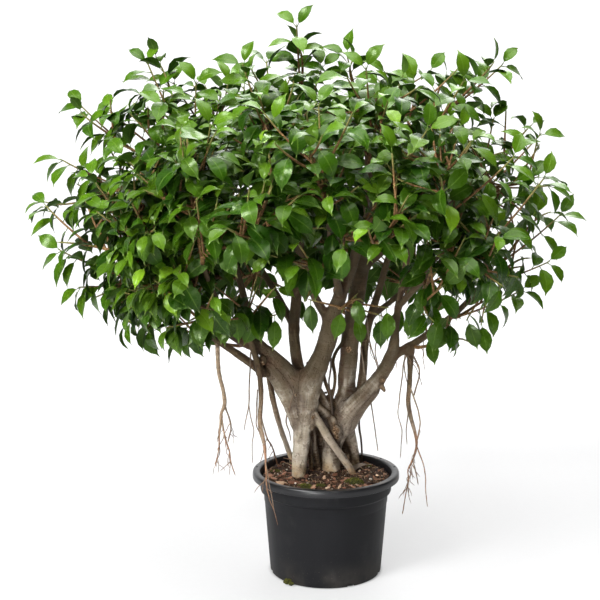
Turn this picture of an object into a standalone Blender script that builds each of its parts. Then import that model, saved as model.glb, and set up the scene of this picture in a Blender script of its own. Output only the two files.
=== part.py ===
"""Potted ficus: a many-stemmed bush in a round black nursery pot.

The origin is the centre of the pot's underside, +Z is up, and the view of the front is along +Y.
Lengths are in metres, except in the tables of points, which are in millimetres.
"""

import math

import bmesh
import bpy
import numpy as np
from mathutils import Vector
from mathutils.bvhtree import BVHTree

MM = 0.001
SEED = 41
SEAT_GAP = 0.0003
SHARP_EDGE = math.radians(50)

# Pot
POT_SEGMENTS = 30
POT_HEIGHT = 0.195
POT_RIM_RADIUS = 0.140
POT_PROFILE = [
    (0.0300, 0.0000), (0.0310, 0.0050), (0.1010, 0.0050), (0.1020, 0.0000), (0.1055, 0.0000),
    (0.1068, 0.0015), (0.1185, 0.1550), (0.1250, 0.1580), (0.1266, 0.1925), (0.1375, 0.1925),
    (0.1384, 0.1815), (POT_RIM_RADIUS, 0.1820), (0.1396, 0.1925), (0.1375, POT_HEIGHT),
    (0.1285, POT_HEIGHT), (0.1252, 0.1930), (0.1234, 0.1590), (0.1168, 0.1555), (0.1050, 0.0075),
]
NOTCH_ANGLES = [25, 71, 117, 163, 200, 240, 283, 317]
NOTCH_SIZE = (0.016, 0.018, 0.0042)
DRAIN_HOLES = 5
DRAIN_HOLE_RADIUS = 0.006
DRAIN_CIRCLE = 0.068
RIM_HOLE_ANGLES = [6, 33.5, 146.5, 174]
RIM_HOLE_RADIUS = 0.0018
RIM_HOLE_CIRCLE = 0.1335

# Soil
SOIL_LEVEL = 0.177
SOIL_SIDE = [(0.1042, 0.0080), (0.1160, 0.1556), (0.1226, 0.1596)]
SOIL_EDGE = (0.1236, 0.1765)
SOIL_RINGS = [0.080]
SOIL_CLEARANCE = 0.0005
BARK_CHIPS = 9
CHIP_SIZE = (0.015, 0.008, 0.0045)
CHIP_PLACES = 61
CHIP_STRIDE = 23
CHIP_REACH = 0.110
CHIP_ROOM = 0.013

# Trunk: each limb is a list of x, y, z and radius, in millimetres
LIMBS = {
    "left_trunk": [
        (-53, 0, 140, 12.5), (-52, 0, 180, 13.5), (-49, 0, 226, 15), (-44, 0, 276, 18),
        (-38, 0, 319, 21), (-34, -2, 356, 25), (-16, -10, 399, 19), (1, -20, 445, 17.5),
        (8, -30, 485, 15.5), (24, -40, 533, 12.5), (44, -60, 587, 10), (57, -80, 647, 8),
        (66, -100, 710, 6), (70, -120, 770, 4.2)],
    "left_bough": [
        (-42, 0, 328, 19), (-66, -4, 376, 17), (-96, -10, 410, 13), (-122, -18, 432, 11.5),
        (-160, -30, 451, 10), (-206, -50, 489, 8.5), (-247, -70, 533, 7), (-289, -90, 568, 5.8),
        (-335, -105, 600, 4.2)],
    "left_riser": [
        (-120, -18, 430, 8.5), (-136, 0, 460, 7.5), (-150, 30, 499, 7), (-164, 50, 547, 6.2),
        (-180, 60, 605, 5.5), (-198, 66, 668, 4.6), (-215, 66, 735, 3.6)],
    "back_stem": [
        (-45, 14, 362, 11), (-55, 32, 400, 11), (-61, 45, 450, 10.5), (-57, 58, 510, 10),
        (-51, 70, 575, 9), (-51, 79, 650, 8), (-55, 80, 730, 6.5), (-56, 80, 820, 5),
        (-50, 78, 885, 3.8)],
    "middle_riser": [
        (6, -27, 482, 8), (-16, -30, 520, 7.5), (-35, -40, 561, 7), (-49, -50, 617, 5.8),
        (-66, -62, 680, 4.8), (-78, -70, 745, 3.6)],
    "right_trunk": [
        (10, 42, 140, 14.5), (11, 40, 180, 15), (13, 35, 225, 16.5), (24, 30, 263, 19),
        (47, 20, 305, 18.5), (80, 10, 344, 15), (105, 0, 379, 13.5), (121, -10, 414, 12),
        (127, -20, 445, 9), (128, -30, 479, 6.8), (132, -40, 518, 6.5), (138, -60, 564, 6),
        (146, -80, 621, 5.5), (157, -100, 684, 4.8), (168, -115, 745, 3.6)],
    "middle_trunk": [
        (24, 32, 264, 16), (34, 40, 290, 18), (40, 50, 331, 18), (44, 55, 390, 17.5),
        (49, 60, 448, 17), (58, 61, 507, 15.5), (71, 60, 575, 13), (80, 58, 652, 10.5),
        (82, 52, 728, 8), (78, 50, 803, 6), (72, 50, 865, 4)],
    "back_right_stem": [
        (50, 40, 292, 9.5), (66, 56, 325, 8.5), (74, 75, 365, 8.5), (79, 90, 422, 8),
        (89, 102, 470, 7.5), (105, 120, 517, 7), (126, 140, 584, 6), (147, 160, 652, 5),
        (160, 175, 715, 3.8)],
    "right_bough": [
        (119, -10, 412, 8), (153, -10, 433, 7.2), (183, 0, 450, 6.6), (214, 10, 471, 6),
        (253, 20, 500, 5.5), (291, 30, 537, 5), (325, 36, 575, 3.8)],
    "front_bough": [
        (24, -40, 533, 7.5), (16, -100, 568, 6.5), (8, -165, 606, 5.5), (0, -230, 648, 4.5),
        (-6, -285, 690, 3.5)],
    "front_left_bough": [
        (-160, -30, 451, 6.5), (-176, -85, 486, 6), (-190, -150, 530, 5.2), (-200, -215, 575, 4.4),
        (-206, -275, 615, 3.5)],
    "front_right_bough": [
        (131, -38, 512, 5.8), (154, -98, 552, 5.2), (178, -160, 590, 4.5), (198, -220, 625, 3.5)],
    "back_bough": [
        (46, 57, 420, 8), (52, 118, 464, 7.2), (56, 185, 518, 6.2), (60, 250, 575, 5),
        (62, 312, 635, 3.8)],
    "back_left_bough": [
        (-60, 46, 458, 7.5), (-85, 108, 500, 6.6), (-120, 168, 550, 5.6), (-158, 222, 608, 4.6),
        (-192, 270, 664, 3.5)],
    "far_right_bough": [
        (90, 103, 474, 6), (140, 142, 506, 5.4), (198, 182, 550, 4.6), (252, 216, 600, 3.6)],
    "left_high_bough": [
        (-182, 60, 615, 5.4), (-232, 52, 665, 4.9), (-284, 38, 718, 4.3), (-330, 24, 772, 3.5)],
    "right_high_bough": [
        (81, 57, 690, 6), (125, 48, 748, 5.2), (174, 38, 806, 4.4), (218, 28, 862, 3.5)],
    "right_mid_bough": [
        (70, 60, 572, 6.5), (128, 68, 622, 5.8), (188, 74, 668, 5), (246, 76, 708, 4.3),
        (302, 72, 748, 3.5)],
}
ROOTS = {
    "right_leg": [
        (61, 62, 140, 8.5), (59, 60, 178, 9), (55, 55, 219, 10), (46, 45, 262, 11),
        (40, 37, 292, 10)],
    "crossing_root": [
        (62, 22, 140, 5.5), (55, 15, 177, 6), (33, 0, 216, 7.2), (8, -10, 253, 7.6),
        (-15, -13, 292, 8), (-32, -7, 314, 8.5)],
    "left_prop_root": [
        (-62, 92, 140, 4.5), (-65, 90, 181, 4.8), (-73, 80, 211, 5), (-87, 60, 258, 5.2),
        (-100, 40, 314, 5.4), (-108, 10, 371, 5.8), (-112, -12, 414, 6)],
    "thin_leg_left": [
        (-25, 42, 140, 4), (-26, 40, 175, 4.5), (-30, 30, 217, 5), (-33, 18, 262, 5),
        (-40, 6, 290, 5)],
    "thin_leg_right": [
        (-8, 52, 140, 4), (-10, 50, 175, 4.5), (-18, 40, 213, 5), (-24, 20, 260, 5),
        (-32, 6, 300, 5)],
    "bridge": [
        (-36, 0, 333, 10), (-20, 8, 317, 9), (-2, 18, 298, 9.5), (16, 28, 272, 12)],
    "inner_root": [
        (4, -8, 434, 2.2), (9, 0, 400, 1.9), (6, 8, 365, 1.7), (10, 16, 330, 1.7),
        (14, 22, 292, 2)],
    "left_hanging_root": [
        (-136, -28, 436, 5), (-126, -46, 402, 4.6), (-121, -60, 352, 4.4), (-123, -72, 300, 4.2),
        (-114, -84, 264, 3.2), (-112, -98, 238, 2), (-110, -116, 208, 1.3), (-105, -126, 180, 1),
        (-97, -128, 158, 0.9), (-90, -124, 130, 0.8)],
    "left_hanging_branch": [
        (-122, -68, 318, 1.8), (-117, -50, 290, 1.5), (-112, -20, 262, 1.4), (-104, 20, 235, 1.4),
        (-98, 50, 205, 1.3), (-95, 60, 186, 1.1)],
    "far_left_root": [
        (-200, -47, 482, 3.2), (-201, -50, 440, 3), (-199, -50, 395, 2.8), (-191, -50, 357, 2.7),
        (-189, -50, 332, 2.6), (-195, -50, 316, 2.4), (-197, -50, 296, 2), (-199, -52, 277, 1.5),
        (-200, -54, 250, 1.1), (-206, -54, 222, 0.9)],
    "far_left_branch": [
        (-190, -50, 330, 1.6), (-181, -46, 307, 1.3), (-178, -44, 289, 1.2), (-183, -46, 262, 1.2)],
    "far_left_tail": [
        (-196, -50, 312, 1.8), (-192, -48, 285, 1.7), (-187, -47, 262, 1.6), (-181, -46, 243, 1.4),
        (-178, -48, 222, 1.1), (-171, -50, 200, 0.9)],
    "right_hanging_root": [
        (158, -10, 434, 6.5), (158, -10, 405, 6), (158, -10, 392, 4.9), (157, -10, 360, 4.8),
        (155, -10, 331, 4.6), (158, -10, 308, 4.3), (163, -10, 289, 3.8), (169, -10, 268, 3),
        (172, -10, 243, 2.4), (166, -10, 217, 1.8), (157, -10, 198, 1.3), (157, -10, 178, 1.1),
        (153, -10, 150, 1), (147, -10, 112, 0.9)],
    "right_hanging_branch": [
        (171, -10, 246, 1.4), (184, -12, 212, 1.1), (189, -13, 186, 1), (190, -13, 160, 0.9),
        (194, -13, 128, 0.8)],
    "right_hanging_loop": [
        (158, -12, 358, 1.8), (167, -18, 331, 1.5), (174, -20, 308, 1.4), (177, -18, 284, 1.3),
        (172, -11, 250, 1.3)],
}
SOIL_LEGS = ["left_trunk", "right_trunk", "right_leg", "crossing_root", "left_prop_root",
             "thin_leg_left", "thin_leg_right"]

# Crown: where each leafy branch's stem ends, in millimetres
BRANCH_TIPS = [
    (-528, 30, 703), (-483, -60, 633), (-448, 50, 518), (-364, -80, 489), (-302, 20, 437),
    (-440, -40, 862), (-463, 90, 753), (-313, 20, 965), (-343, -90, 856), (-228, 80, 918),
    (-133, -70, 934), (-53, 30, 992), (46, 0, 960), (129, -80, 921), (227, 70, 939),
    (298, -20, 952), (383, 40, 845), (368, -80, 749), (426, 60, 682), (370, -30, 602),
    (334, 80, 510), (260, -40, 449), (211, 100, 434), (-230, -230, 515), (-40, -330, 560),
    (165, -260, 520), (-330, -200, 650), (-120, -360, 660), (85, -350, 650), (270, -230, 620),
    (-245, -290, 775), (-35, -350, 790), (175, -290, 775), (-120, -230, 890), (95, -200, 890),
    (-210, 270, 520), (-10, 345, 545), (190, 290, 525), (-330, 220, 640), (-110, 385, 650),
    (90, 390, 655), (290, 240, 640), (-240, 300, 775), (-30, 350, 785), (185, 300, 770),
    (-110, 230, 885), (80, 220, 900), (-140, -130, 505), (60, -130, 535), (20, 190, 520),
]
CROWN_CENTRE = (0.0, 0.0, 0.68)
CROWN_RADII = (0.59, 0.48, 0.39)
LOWEST_BUD = 0.43
BUD_SPACING = 0.020
END_TURN_WEIGHT = 0.16
SIDE_TURN_WEIGHT = 0.08
SHORTEST_STEM = 0.10
STEM_ROOM = 0.004
STEM_BOW = 0.012
STEM_TRIALS = 14
STEM_ROOT_REACH = 0.022
STEM_RADII = (0.0032, 0.0016)
SHOOT_RADII = (0.0013, 0.0019, 0.0015)
SHOOT_SHARES = (0.42, 0.66, 0.54, 0.78, 0.88)
SHOOT_LENGTH = 0.125
SHOOT_SPREAD = math.radians(48)
SHOOT_ROOM = 0.003
SHOOT_TRIALS = 7
SHOOT_TURN = 0.9
LOWEST_SHOOT = 0.43
GOLDEN_ANGLE = math.radians(137.5)
PLAN_STEPS = 13
SOLID_SHOOTS = 2

# Leaf
LEAF_LENGTH = 0.057
LEAF_HALF_WIDTH = 0.27
LEAF_SPACING = 0.0155
STEM_BARE_SHARE = 0.34
SHOOT_BARE_SHARE = 0.20
LEAF_ARCH = math.radians(34)
LEAF_FOLD = math.radians(14)
LEAF_RIB = 0.0019
PETIOLE_LENGTH = 0.009
PETIOLE_RADII = (0.0006, 0.0010)
LEAVES_PER_BRANCH = 6
LEAF_CLEARANCE = 0.0009

COLOURS = {
    "pot": ((0.030, 0.031, 0.034), 0.45),
    "soil": ((0.075, 0.042, 0.022), 0.95),
    "trunk": ((0.245, 0.205, 0.150), 0.80),
    "leafy_branch": ((0.045, 0.130, 0.020), 0.35),
}


def clear_scene():
    for thing in list(bpy.data.objects):
        bpy.data.objects.remove(thing, do_unlink=True)


def material(name):
    found = bpy.data.materials.get(name)
    if found:
        return found
    colour, roughness = COLOURS[name]
    made = bpy.data.materials.new(name)
    made.use_nodes = True
    shader = made.node_tree.nodes["Principled BSDF"]
    shader.inputs["Base Color"].default_value = (*colour, 1.0)
    shader.inputs["Roughness"].default_value = roughness
    shader.inputs["Metallic"].default_value = 0.0
    return made


def unit(vector):
    vector = np.asarray(vector, float)
    return vector / max(np.linalg.norm(vector), 1e-9)


def knots(table):
    """A limb's points in metres and its radii."""
    rows = np.array(table, float) * MM
    return rows[:, :3], rows[:, 3]


def side_of(direction):
    """A unit vector square to the direction."""
    helper = np.array((0.0, 0.0, 1.0)) if abs(direction[2]) < 0.9 else np.array((1.0, 0.0, 0.0))
    return unit(np.cross(direction, helper))


def along(line, share):
    """The point at this share of a line's samples, and its direction there."""
    place = min(max(share, 0.0), 1.0) * (len(line) - 1)
    step = min(int(place), len(line) - 2)
    point = line[step] + (line[step + 1] - line[step]) * (place - step)
    return point, unit(line[step + 1] - line[step])


def bend_path(start, aim, end, final, count):
    """A smooth line that leaves the start along one vector and reaches the end along another."""
    t = np.linspace(0.0, 1.0, count)[:, None]
    return ((2 * t**3 - 3 * t**2 + 1) * start + (t**3 - 2 * t**2 + t) * aim
            + (3 * t**2 - 2 * t**3) * end + (t**3 - t**2) * final)


def bowed(line, bow):
    """A line pushed sideways between its ends, most beyond its middle."""
    t = np.linspace(0.0, 1.0, len(line))[:, None]
    return line + bow * 4.0 * t * t * np.sqrt(1.0 - t)


def limb_crowd():
    """Balls along every limb and root: points and radii."""
    rows = []
    for table in list(LIMBS.values()) + list(ROOTS.values()):
        points, radii = knots(table)
        for a, b, ra, rb in zip(points[:-1], points[1:], radii[:-1], radii[1:]):
            steps = max(2, int(np.linalg.norm(b - a) / 0.006))
            for t in np.linspace(0.0, 1.0, steps):
                rows.append([*(a + (b - a) * t), ra + (rb - ra) * t])
    return np.array(rows)


def room(line, radius, crowd):
    """The smallest gap between a line of this radius and the crowd."""
    gaps = np.linalg.norm(line[:, None, :] - crowd[None, :, :3], axis=2) - crowd[None, :, 3]
    return float(gaps.min()) - radius


def bud_places():
    """Where leafy branches can start: the ends of the limbs, then places along them."""
    ends = []
    sides = []
    for table in LIMBS.values():
        points, radii = knots(table)
        ends.append((points[-1], unit(points[-1] - points[-2]), 0.0))
        for a, b, ra, rb in zip(points[1:-1], points[2:], radii[1:-1], radii[2:]):
            for t in (0.2, 0.6):
                point = a + (b - a) * t
                if point[2] > LOWEST_BUD:
                    sides.append((point, unit(b - a), ra + (rb - ra) * t))
    return ends, sides


def bud_cost(place, tip, turn_weight):
    reach = tip - place[0]
    distance = float(np.linalg.norm(reach))
    turn = 1.0 - float(np.dot(place[1], unit(reach)))
    short = max(0.0, SHORTEST_STEM - distance) * 3.0
    return distance + turn_weight * turn + short


def choose_buds():
    """A starting place for each tip: limb ends first, then the cheapest free place along a limb."""
    tips = np.array(BRANCH_TIPS, float) * MM
    ends, sides = bud_places()
    chosen = {}
    for end in ends:
        free = [i for i in range(len(tips)) if i not in chosen]
        best = min(free, key=lambda i: bud_cost(end, tips[i], END_TURN_WEIGHT))
        chosen[best] = end
    for i, tip in enumerate(tips):
        if i in chosen:
            continue
        taken = np.array([place[0] for place in chosen.values()])
        free = [s for s in sides if np.linalg.norm(taken - s[0], axis=1).min() > BUD_SPACING]
        chosen[i] = min(free, key=lambda s: bud_cost(s, tip, SIDE_TURN_WEIGHT))
    return [(chosen[i], tips[i]) for i in range(len(tips))]


def stem_line(bud, tip, crowd, count):
    """The line of a branch's stem, bowed as little as keeps it clear of its neighbours."""
    place, growth, radius = bud
    reach = tip - place
    length = float(np.linalg.norm(reach))
    outward = unit(tip - np.array(CROWN_CENTRE))
    lift = min(max((tip[2] - 0.62) / 0.30, -0.7), 1.3)
    final = unit(unit((outward[0], outward[1], 0.0)) * 0.8 + np.array((0.0, 0.0, lift)))
    if radius > 0.0:
        square = unit(reach - growth * np.dot(reach, growth))
        start = place + square * radius
        aim = unit(square + 0.6 * growth)
    else:
        start = place
        aim = growth
    across = side_of(unit(reach))
    over = np.cross(unit(reach), across)
    best = None
    for attempt in range(STEM_TRIALS):
        angle = GOLDEN_ANGLE * attempt
        bow = (across * math.cos(angle) + over * math.sin(angle)) * STEM_BOW * math.sqrt(attempt)
        trial = bowed(bend_path(start, aim * length * 0.9, tip, final * length * 0.8, count), bow)
        far = trial[np.linalg.norm(trial - start, axis=1) > STEM_ROOT_REACH]
        gap = room(far, STEM_RADII[0], crowd)
        if best is None or gap > best[0]:
            best = (gap, trial)
        if gap > STEM_ROOM:
            return trial
    return best[1]


def shoot_line(root, direction, length, lift, count):
    v = np.linspace(0.0, 1.0, count)[:, None]
    return root + direction * length * v + np.array((0.0, 0.0, lift)) * length * v * v


def balls(line, radius):
    return np.column_stack([line, np.full(len(line), radius)])


def side_shoots(stem, draw, crowd):
    """The lines of a stem's side shoots; None where there is no room for one."""
    found = []
    turn = draw.uniform(0.0, 2.0 * math.pi)
    for number, share in enumerate(SHOOT_SHARES):
        root, along_stem = along(stem, share)
        across = side_of(along_stem)
        over = np.cross(along_stem, across)
        length = SHOOT_LENGTH * (1.25 - 0.75 * share) + draw.uniform(-0.012, 0.012)
        lift = min(max((root[2] - 0.55) / 0.30, -0.5), 1.0) * 0.30
        found.append(None)
        for attempt in range(SHOOT_TRIALS):
            angle = turn + GOLDEN_ANGLE * number + SHOOT_TURN * attempt
            square = across * math.cos(angle) + over * math.sin(angle)
            direction = along_stem * math.cos(SHOOT_SPREAD) + square * math.sin(SHOOT_SPREAD)
            trial = shoot_line(root, direction, length, lift, PLAN_STEPS)
            reach = np.linalg.norm((trial[-1] - np.array(CROWN_CENTRE)) / np.array(CROWN_RADII))
            if reach > 1.0 or trial[-1][2] < LOWEST_SHOOT:
                continue
            if room(trial[3:], SHOOT_RADII[1], crowd) > SHOOT_ROOM:
                found[-1] = (root, direction, length, lift)
                crowd = np.vstack([crowd, balls(trial[3:], SHOOT_RADII[1])])
                break
    return found


def leaf_rows(line, first_share, draw, turn):
    """Leaves from the tip of a line inwards, each turned by the golden angle from the last."""
    length = float(np.linalg.norm(np.diff(line, axis=0), axis=1).sum())
    count = int((1.0 - first_share) * length / LEAF_SPACING) + 1
    rows = []
    for number in range(count):
        share = 1.0 - number * LEAF_SPACING / length
        point, growth = along(line, share)
        across = side_of(growth)
        over = np.cross(growth, across)
        angle = turn + GOLDEN_ANGLE * number
        square = across * math.cos(angle) + over * math.sin(angle)
        spread = math.radians(18 if number == 0 else 56) + draw.uniform(-0.15, 0.15)
        hang = min(max(1.15 - (point[2] - 0.42) / 0.45, 0.22), 1.15) * draw.uniform(0.75, 1.25)
        forward = unit(growth * math.cos(spread) + square * math.sin(spread) - np.array((0, 0, hang)))
        outward = unit((point[0], point[1], 0.0))
        up = unit(np.array((0.0, 0.0, 0.75)) + outward * 0.55 + 0.25 * draw.normal(size=3))
        normal = up - forward * np.dot(up, forward)
        if np.linalg.norm(normal) < 0.2:
            normal = outward - forward * np.dot(outward, forward)
        size = (0.72, 0.86, 0.95)[number] if number < 3 else 1.0
        rows.append({
            "point": point, "forward": forward, "normal": unit(normal),
            "length": LEAF_LENGTH * size * draw.uniform(0.90, 1.10),
            "arch": LEAF_ARCH * draw.uniform(0.6, 1.5), "fold": LEAF_FOLD * draw.uniform(0.5, 1.5)})
    return rows


def plan_crown():
    """Every leafy branch: its bud, its stem, its side shoots and their leaves."""
    limbs = limb_crowd()
    crowd = limbs
    plans = []
    for number, (bud, tip) in enumerate(choose_buds()):
        stem = stem_line(bud, tip, crowd, PLAN_STEPS)
        crowd = np.vstack([crowd, balls(stem[2:], STEM_RADII[0])])
        plans.append({"bud": bud, "stem": stem, "draw": np.random.default_rng(SEED + number)})
    grown = []
    for plan in plans:
        draw = plan["draw"]
        others = [balls(other["stem"], STEM_RADII[0]) for other in plans if other is not plan]
        plan["shoots"] = side_shoots(plan["stem"], draw, np.vstack([limbs] + others + grown))
        turn = draw.uniform(0.0, 2.0 * math.pi)
        plan["stem_leaves"] = leaf_rows(plan["stem"], STEM_BARE_SHARE, draw, turn)
        plan["shoot_leaves"] = []
        for shoot in plan["shoots"]:
            turn = draw.uniform(0.0, 2.0 * math.pi)
            leaves = []
            if shoot:
                line = shoot_line(*shoot, PLAN_STEPS)
                grown.append(balls(line, SHOOT_RADII[1]))
                leaves = leaf_rows(line, SHOOT_BARE_SHARE, draw, turn)
            plan["shoot_leaves"].append(leaves)
    return plans


def leaf_place(leaf, u, across, rise):
    """A point of a leaf's blade: u along the rib, across it, and out of its upper face."""
    turn = leaf["arch"] * u
    radius = leaf["length"] / leaf["arch"]
    base = leaf["point"] + leaf["forward"] * (PETIOLE_LENGTH + radius * math.sin(turn))
    base = base - leaf["normal"] * radius * (1.0 - math.cos(turn))
    out = leaf["normal"] * math.cos(turn) + leaf["forward"] * math.sin(turn)
    side = np.cross(leaf["forward"], leaf["normal"])
    lifted = abs(across) * math.sin(leaf["fold"]) + rise
    return base + side * across * math.cos(leaf["fold"]) + out * lifted


def triangle_ring(centre, side, up, radius):
    return [centre + side * radius * math.cos(a) + up * radius * math.sin(a)
            for a in (math.radians(210), math.radians(330), math.radians(90))]


def leaf_mesh(leaf):
    """A closed leaf: a folded, arched blade with a rib, on a three-sided stalk."""
    side = np.cross(leaf["forward"], leaf["normal"])
    up = leaf["normal"]
    half = leaf["length"] * LEAF_HALF_WIDTH
    root = triangle_ring(leaf["point"], side, -up, PETIOLE_RADII[0])
    neck = triangle_ring(leaf["point"] + leaf["forward"] * PETIOLE_LENGTH, side, -up, PETIOLE_RADII[1])
    outline = [
        leaf_place(leaf, 0.26, -half * 0.86, 0.0), leaf_place(leaf, 0.64, -half * 0.94, 0.0),
        leaf_place(leaf, 1.0, 0.0, 0.0), leaf_place(leaf, 0.64, half * 0.94, 0.0),
        leaf_place(leaf, 0.26, half * 0.86, 0.0)]
    ribs = [leaf_place(leaf, 0.45, 0.0, LEAF_RIB / 2), leaf_place(leaf, 0.45, 0.0, -LEAF_RIB / 2)]
    points = root + neck + outline + ribs
    top = 11
    under = 12
    rim = [3, 6, 7, 8, 9, 10, 4]
    low = [4, 10, 9, 8, 7, 6, 3, 5]
    faces = [(0, 2, 1)]
    for a, b in ((0, 1), (1, 2), (2, 0)):
        faces.append((a, b, b + 3))
        faces.append((a, b + 3, a + 3))
    for a, b in zip([4] + rim, rim):
        faces.append((top, b, a))
    for a, b in zip([5] + low, low):
        faces.append((under, b, a))
    return np.array(points), faces


def tube_mesh(line, radii, sides, first_normal=None):
    """A closed tube along a line. The first ring can be laid square to a given normal."""
    points = []
    faces = []
    directions = [unit(b - a) for a, b in zip(line[:-1], line[1:])]
    tangents = [directions[0]] + [unit(a + b) for a, b in zip(directions[:-1], directions[1:])]
    tangents.append(directions[-1])
    if first_normal is not None:
        tangents[0] = first_normal
    across = side_of(tangents[0])
    for centre, tangent, radius in zip(line, tangents, radii):
        across = unit(across - tangent * np.dot(across, tangent))
        over = np.cross(tangent, across)
        for k in range(sides):
            angle = 2.0 * math.pi * k / sides
            points.append(centre + (across * math.cos(angle) + over * math.sin(angle)) * radius)
    for ring in range(len(line) - 1):
        for k in range(sides):
            a = ring * sides + k
            b = ring * sides + (k + 1) % sides
            faces.append((a, b, b + sides, a + sides))
    faces.append(tuple(range(sides - 1, -1, -1)))
    last = (len(line) - 1) * sides
    faces.append(tuple(range(last, last + sides)))
    return np.array(points), faces


def add_object(name, points, faces, slot, collection=None):
    mesh = bpy.data.meshes.new(name)
    mesh.from_pydata([tuple(map(float, p)) for p in points], [], faces)
    shape = bmesh.new()
    shape.from_mesh(mesh)
    bmesh.ops.recalc_face_normals(shape, faces=shape.faces)
    if shape.calc_volume(signed=True) < 0:
        bmesh.ops.reverse_faces(shape, faces=shape.faces)
    shape.to_mesh(mesh)
    shape.free()
    made = bpy.data.objects.new(name, mesh)
    (collection or bpy.context.scene.collection).objects.link(made)
    if slot:
        mesh.materials.append(material(slot))
    return made


def combine(target, pieces, operation):
    """Joins the pieces to the target, or cuts them from it, and removes them."""
    group = bpy.data.collections.new("group")
    for points, faces in pieces:
        add_object("piece", points, faces, None, group)
    boolean = target.modifiers.new("combine", "BOOLEAN")
    boolean.operand_type = "COLLECTION"
    boolean.collection = group
    boolean.operation = operation
    boolean.solver = "EXACT" if operation == "DIFFERENCE" else "MANIFOLD"
    bpy.context.view_layer.update()
    graph = bpy.context.evaluated_depsgraph_get()
    joined = bpy.data.meshes.new_from_object(target.evaluated_get(graph))
    target.modifiers.remove(boolean)
    old = target.data
    target.data = joined
    bpy.data.meshes.remove(old)
    joined.shade_smooth()
    joined.set_sharp_from_angle(angle=SHARP_EDGE)
    for piece in list(group.objects):
        bpy.data.objects.remove(piece, do_unlink=True)
    bpy.data.collections.remove(group)


def turned_mesh(profile, segments):
    """A closed solid of revolution: profile points from the axis below, outwards and back to it."""
    points = [(0.0, 0.0, profile[0][1]), (0.0, 0.0, profile[-1][1])]
    faces = []
    for radius, height in profile:
        for k in range(segments):
            angle = 2.0 * math.pi * k / segments
            points.append((radius * math.cos(angle), radius * math.sin(angle), height))
    for ring in range(len(profile) - 1):
        for k in range(segments):
            a = 2 + ring * segments + k
            b = 2 + ring * segments + (k + 1) % segments
            faces.append((a, b, b + segments, a + segments))
    last = 2 + (len(profile) - 1) * segments
    faces.append(tuple(2 + k for k in range(segments - 1, -1, -1)))
    faces.append(tuple(last + k for k in range(segments)))
    return points[2:], [tuple(i - 2 for i in face) for face in faces]


def box_mesh(centre, axes, size):
    signs = [(x, y, z) for z in (-1, 1) for y in (-1, 1) for x in (-1, 1)]
    points = [np.array(centre) + sum(np.array(a) * s * n / 2 for a, s, n in zip(axes, size, sign))
              for sign in signs]
    faces = [(0, 2, 3, 1), (4, 5, 7, 6), (0, 1, 5, 4), (2, 6, 7, 3), (0, 4, 6, 2), (1, 3, 7, 5)]
    return points, faces


def build_pot():
    points, faces = turned_mesh(POT_PROFILE, POT_SEGMENTS)
    pot = add_object("pot", points, faces, "pot")
    cuts = []
    for degrees in NOTCH_ANGLES:
        angle = math.radians(degrees - 90)
        out = np.array((math.cos(angle), math.sin(angle), 0.0))
        side = np.array((-math.sin(angle), math.cos(angle), 0.0))
        centre = out * 0.1045 + np.array((0.0, 0.0, NOTCH_SIZE[2] / 2 - 0.002))
        size = (NOTCH_SIZE[1], NOTCH_SIZE[0], NOTCH_SIZE[2] + 0.004)
        cuts.append(box_mesh(centre, (out, side, (0, 0, 1)), size))
    for number in range(DRAIN_HOLES):
        angle = 2.0 * math.pi * (number + 0.5) / DRAIN_HOLES
        spot = np.array((math.cos(angle), math.sin(angle), 0.0)) * DRAIN_CIRCLE
        line = np.array([spot + (0, 0, 0.002), spot + (0, 0, 0.012)])
        cuts.append(tube_mesh(line, [DRAIN_HOLE_RADIUS] * 2, 8))
    for degrees in RIM_HOLE_ANGLES:
        angle = math.radians(degrees)
        spot = np.array((math.cos(angle), math.sin(angle), 0.0)) * RIM_HOLE_CIRCLE
        line = np.array([spot + (0, 0, 0.190), spot + (0, 0, 0.198)])
        cuts.append(tube_mesh(line, [RIM_HOLE_RADIUS] * 2, 6))
    combine(pot, cuts, "DIFFERENCE")
    return pot


def soil_height(x, y):
    mound = 0.0035 * math.exp(-((x - 0.01) ** 2 + (y - 0.03) ** 2) / 0.004)
    return SOIL_LEVEL + mound + 0.0012 * math.sin(61 * x + 1.0) * math.cos(53 * y)


def soil_mesh():
    points, faces = turned_mesh(SOIL_SIDE + [SOIL_EDGE] + [(r, SOIL_LEVEL) for r in SOIL_RINGS],
                                POT_SEGMENTS)
    first = POT_SEGMENTS * (len(SOIL_SIDE) + 1)
    shaped = [p if i < first else (p[0], p[1], soil_height(p[0], p[1]))
              for i, p in enumerate(points)]
    middle = len(shaped)
    shaped.append((0.0, 0.0, soil_height(0.0, 0.0)))
    last = faces.pop()
    for a, b in zip(last, last[1:] + last[:1]):
        faces.append((a, b, middle))
    return shaped, faces


def chip_meshes():
    """Bark chips, half sunk, on a golden-angle spiral that leaves the legs clear."""
    legs = [knots(LIMBS.get(name) or ROOTS[name]) for name in SOIL_LEGS]
    draw = np.random.default_rng(SEED)
    chips = []
    for number in range(CHIP_PLACES):
        step = number * CHIP_STRIDE % CHIP_PLACES
        radius = CHIP_REACH * math.sqrt((step + 0.5) / CHIP_PLACES)
        angle = GOLDEN_ANGLE * step
        x = radius * math.cos(angle)
        y = radius * math.sin(angle)
        gap = min(math.hypot(x - p[1][0], y - p[1][1]) - r[1] for p, r in legs)
        if gap < CHIP_ROOM or len(chips) == BARK_CHIPS:
            continue
        turn = draw.uniform(0, math.pi)
        tilt = draw.uniform(-0.4, 0.4)
        long = np.array((math.cos(turn) * math.cos(tilt), math.sin(turn) * math.cos(tilt), math.sin(tilt)))
        wide = np.array((-math.sin(turn), math.cos(turn), 0.0))
        centre = (x, y, soil_height(x, y) + 0.0008)
        size = np.array(CHIP_SIZE) * draw.uniform(0.75, 1.2)
        chips.append(box_mesh(centre, (long, wide, np.cross(long, wide)), size))
    return chips


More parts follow.
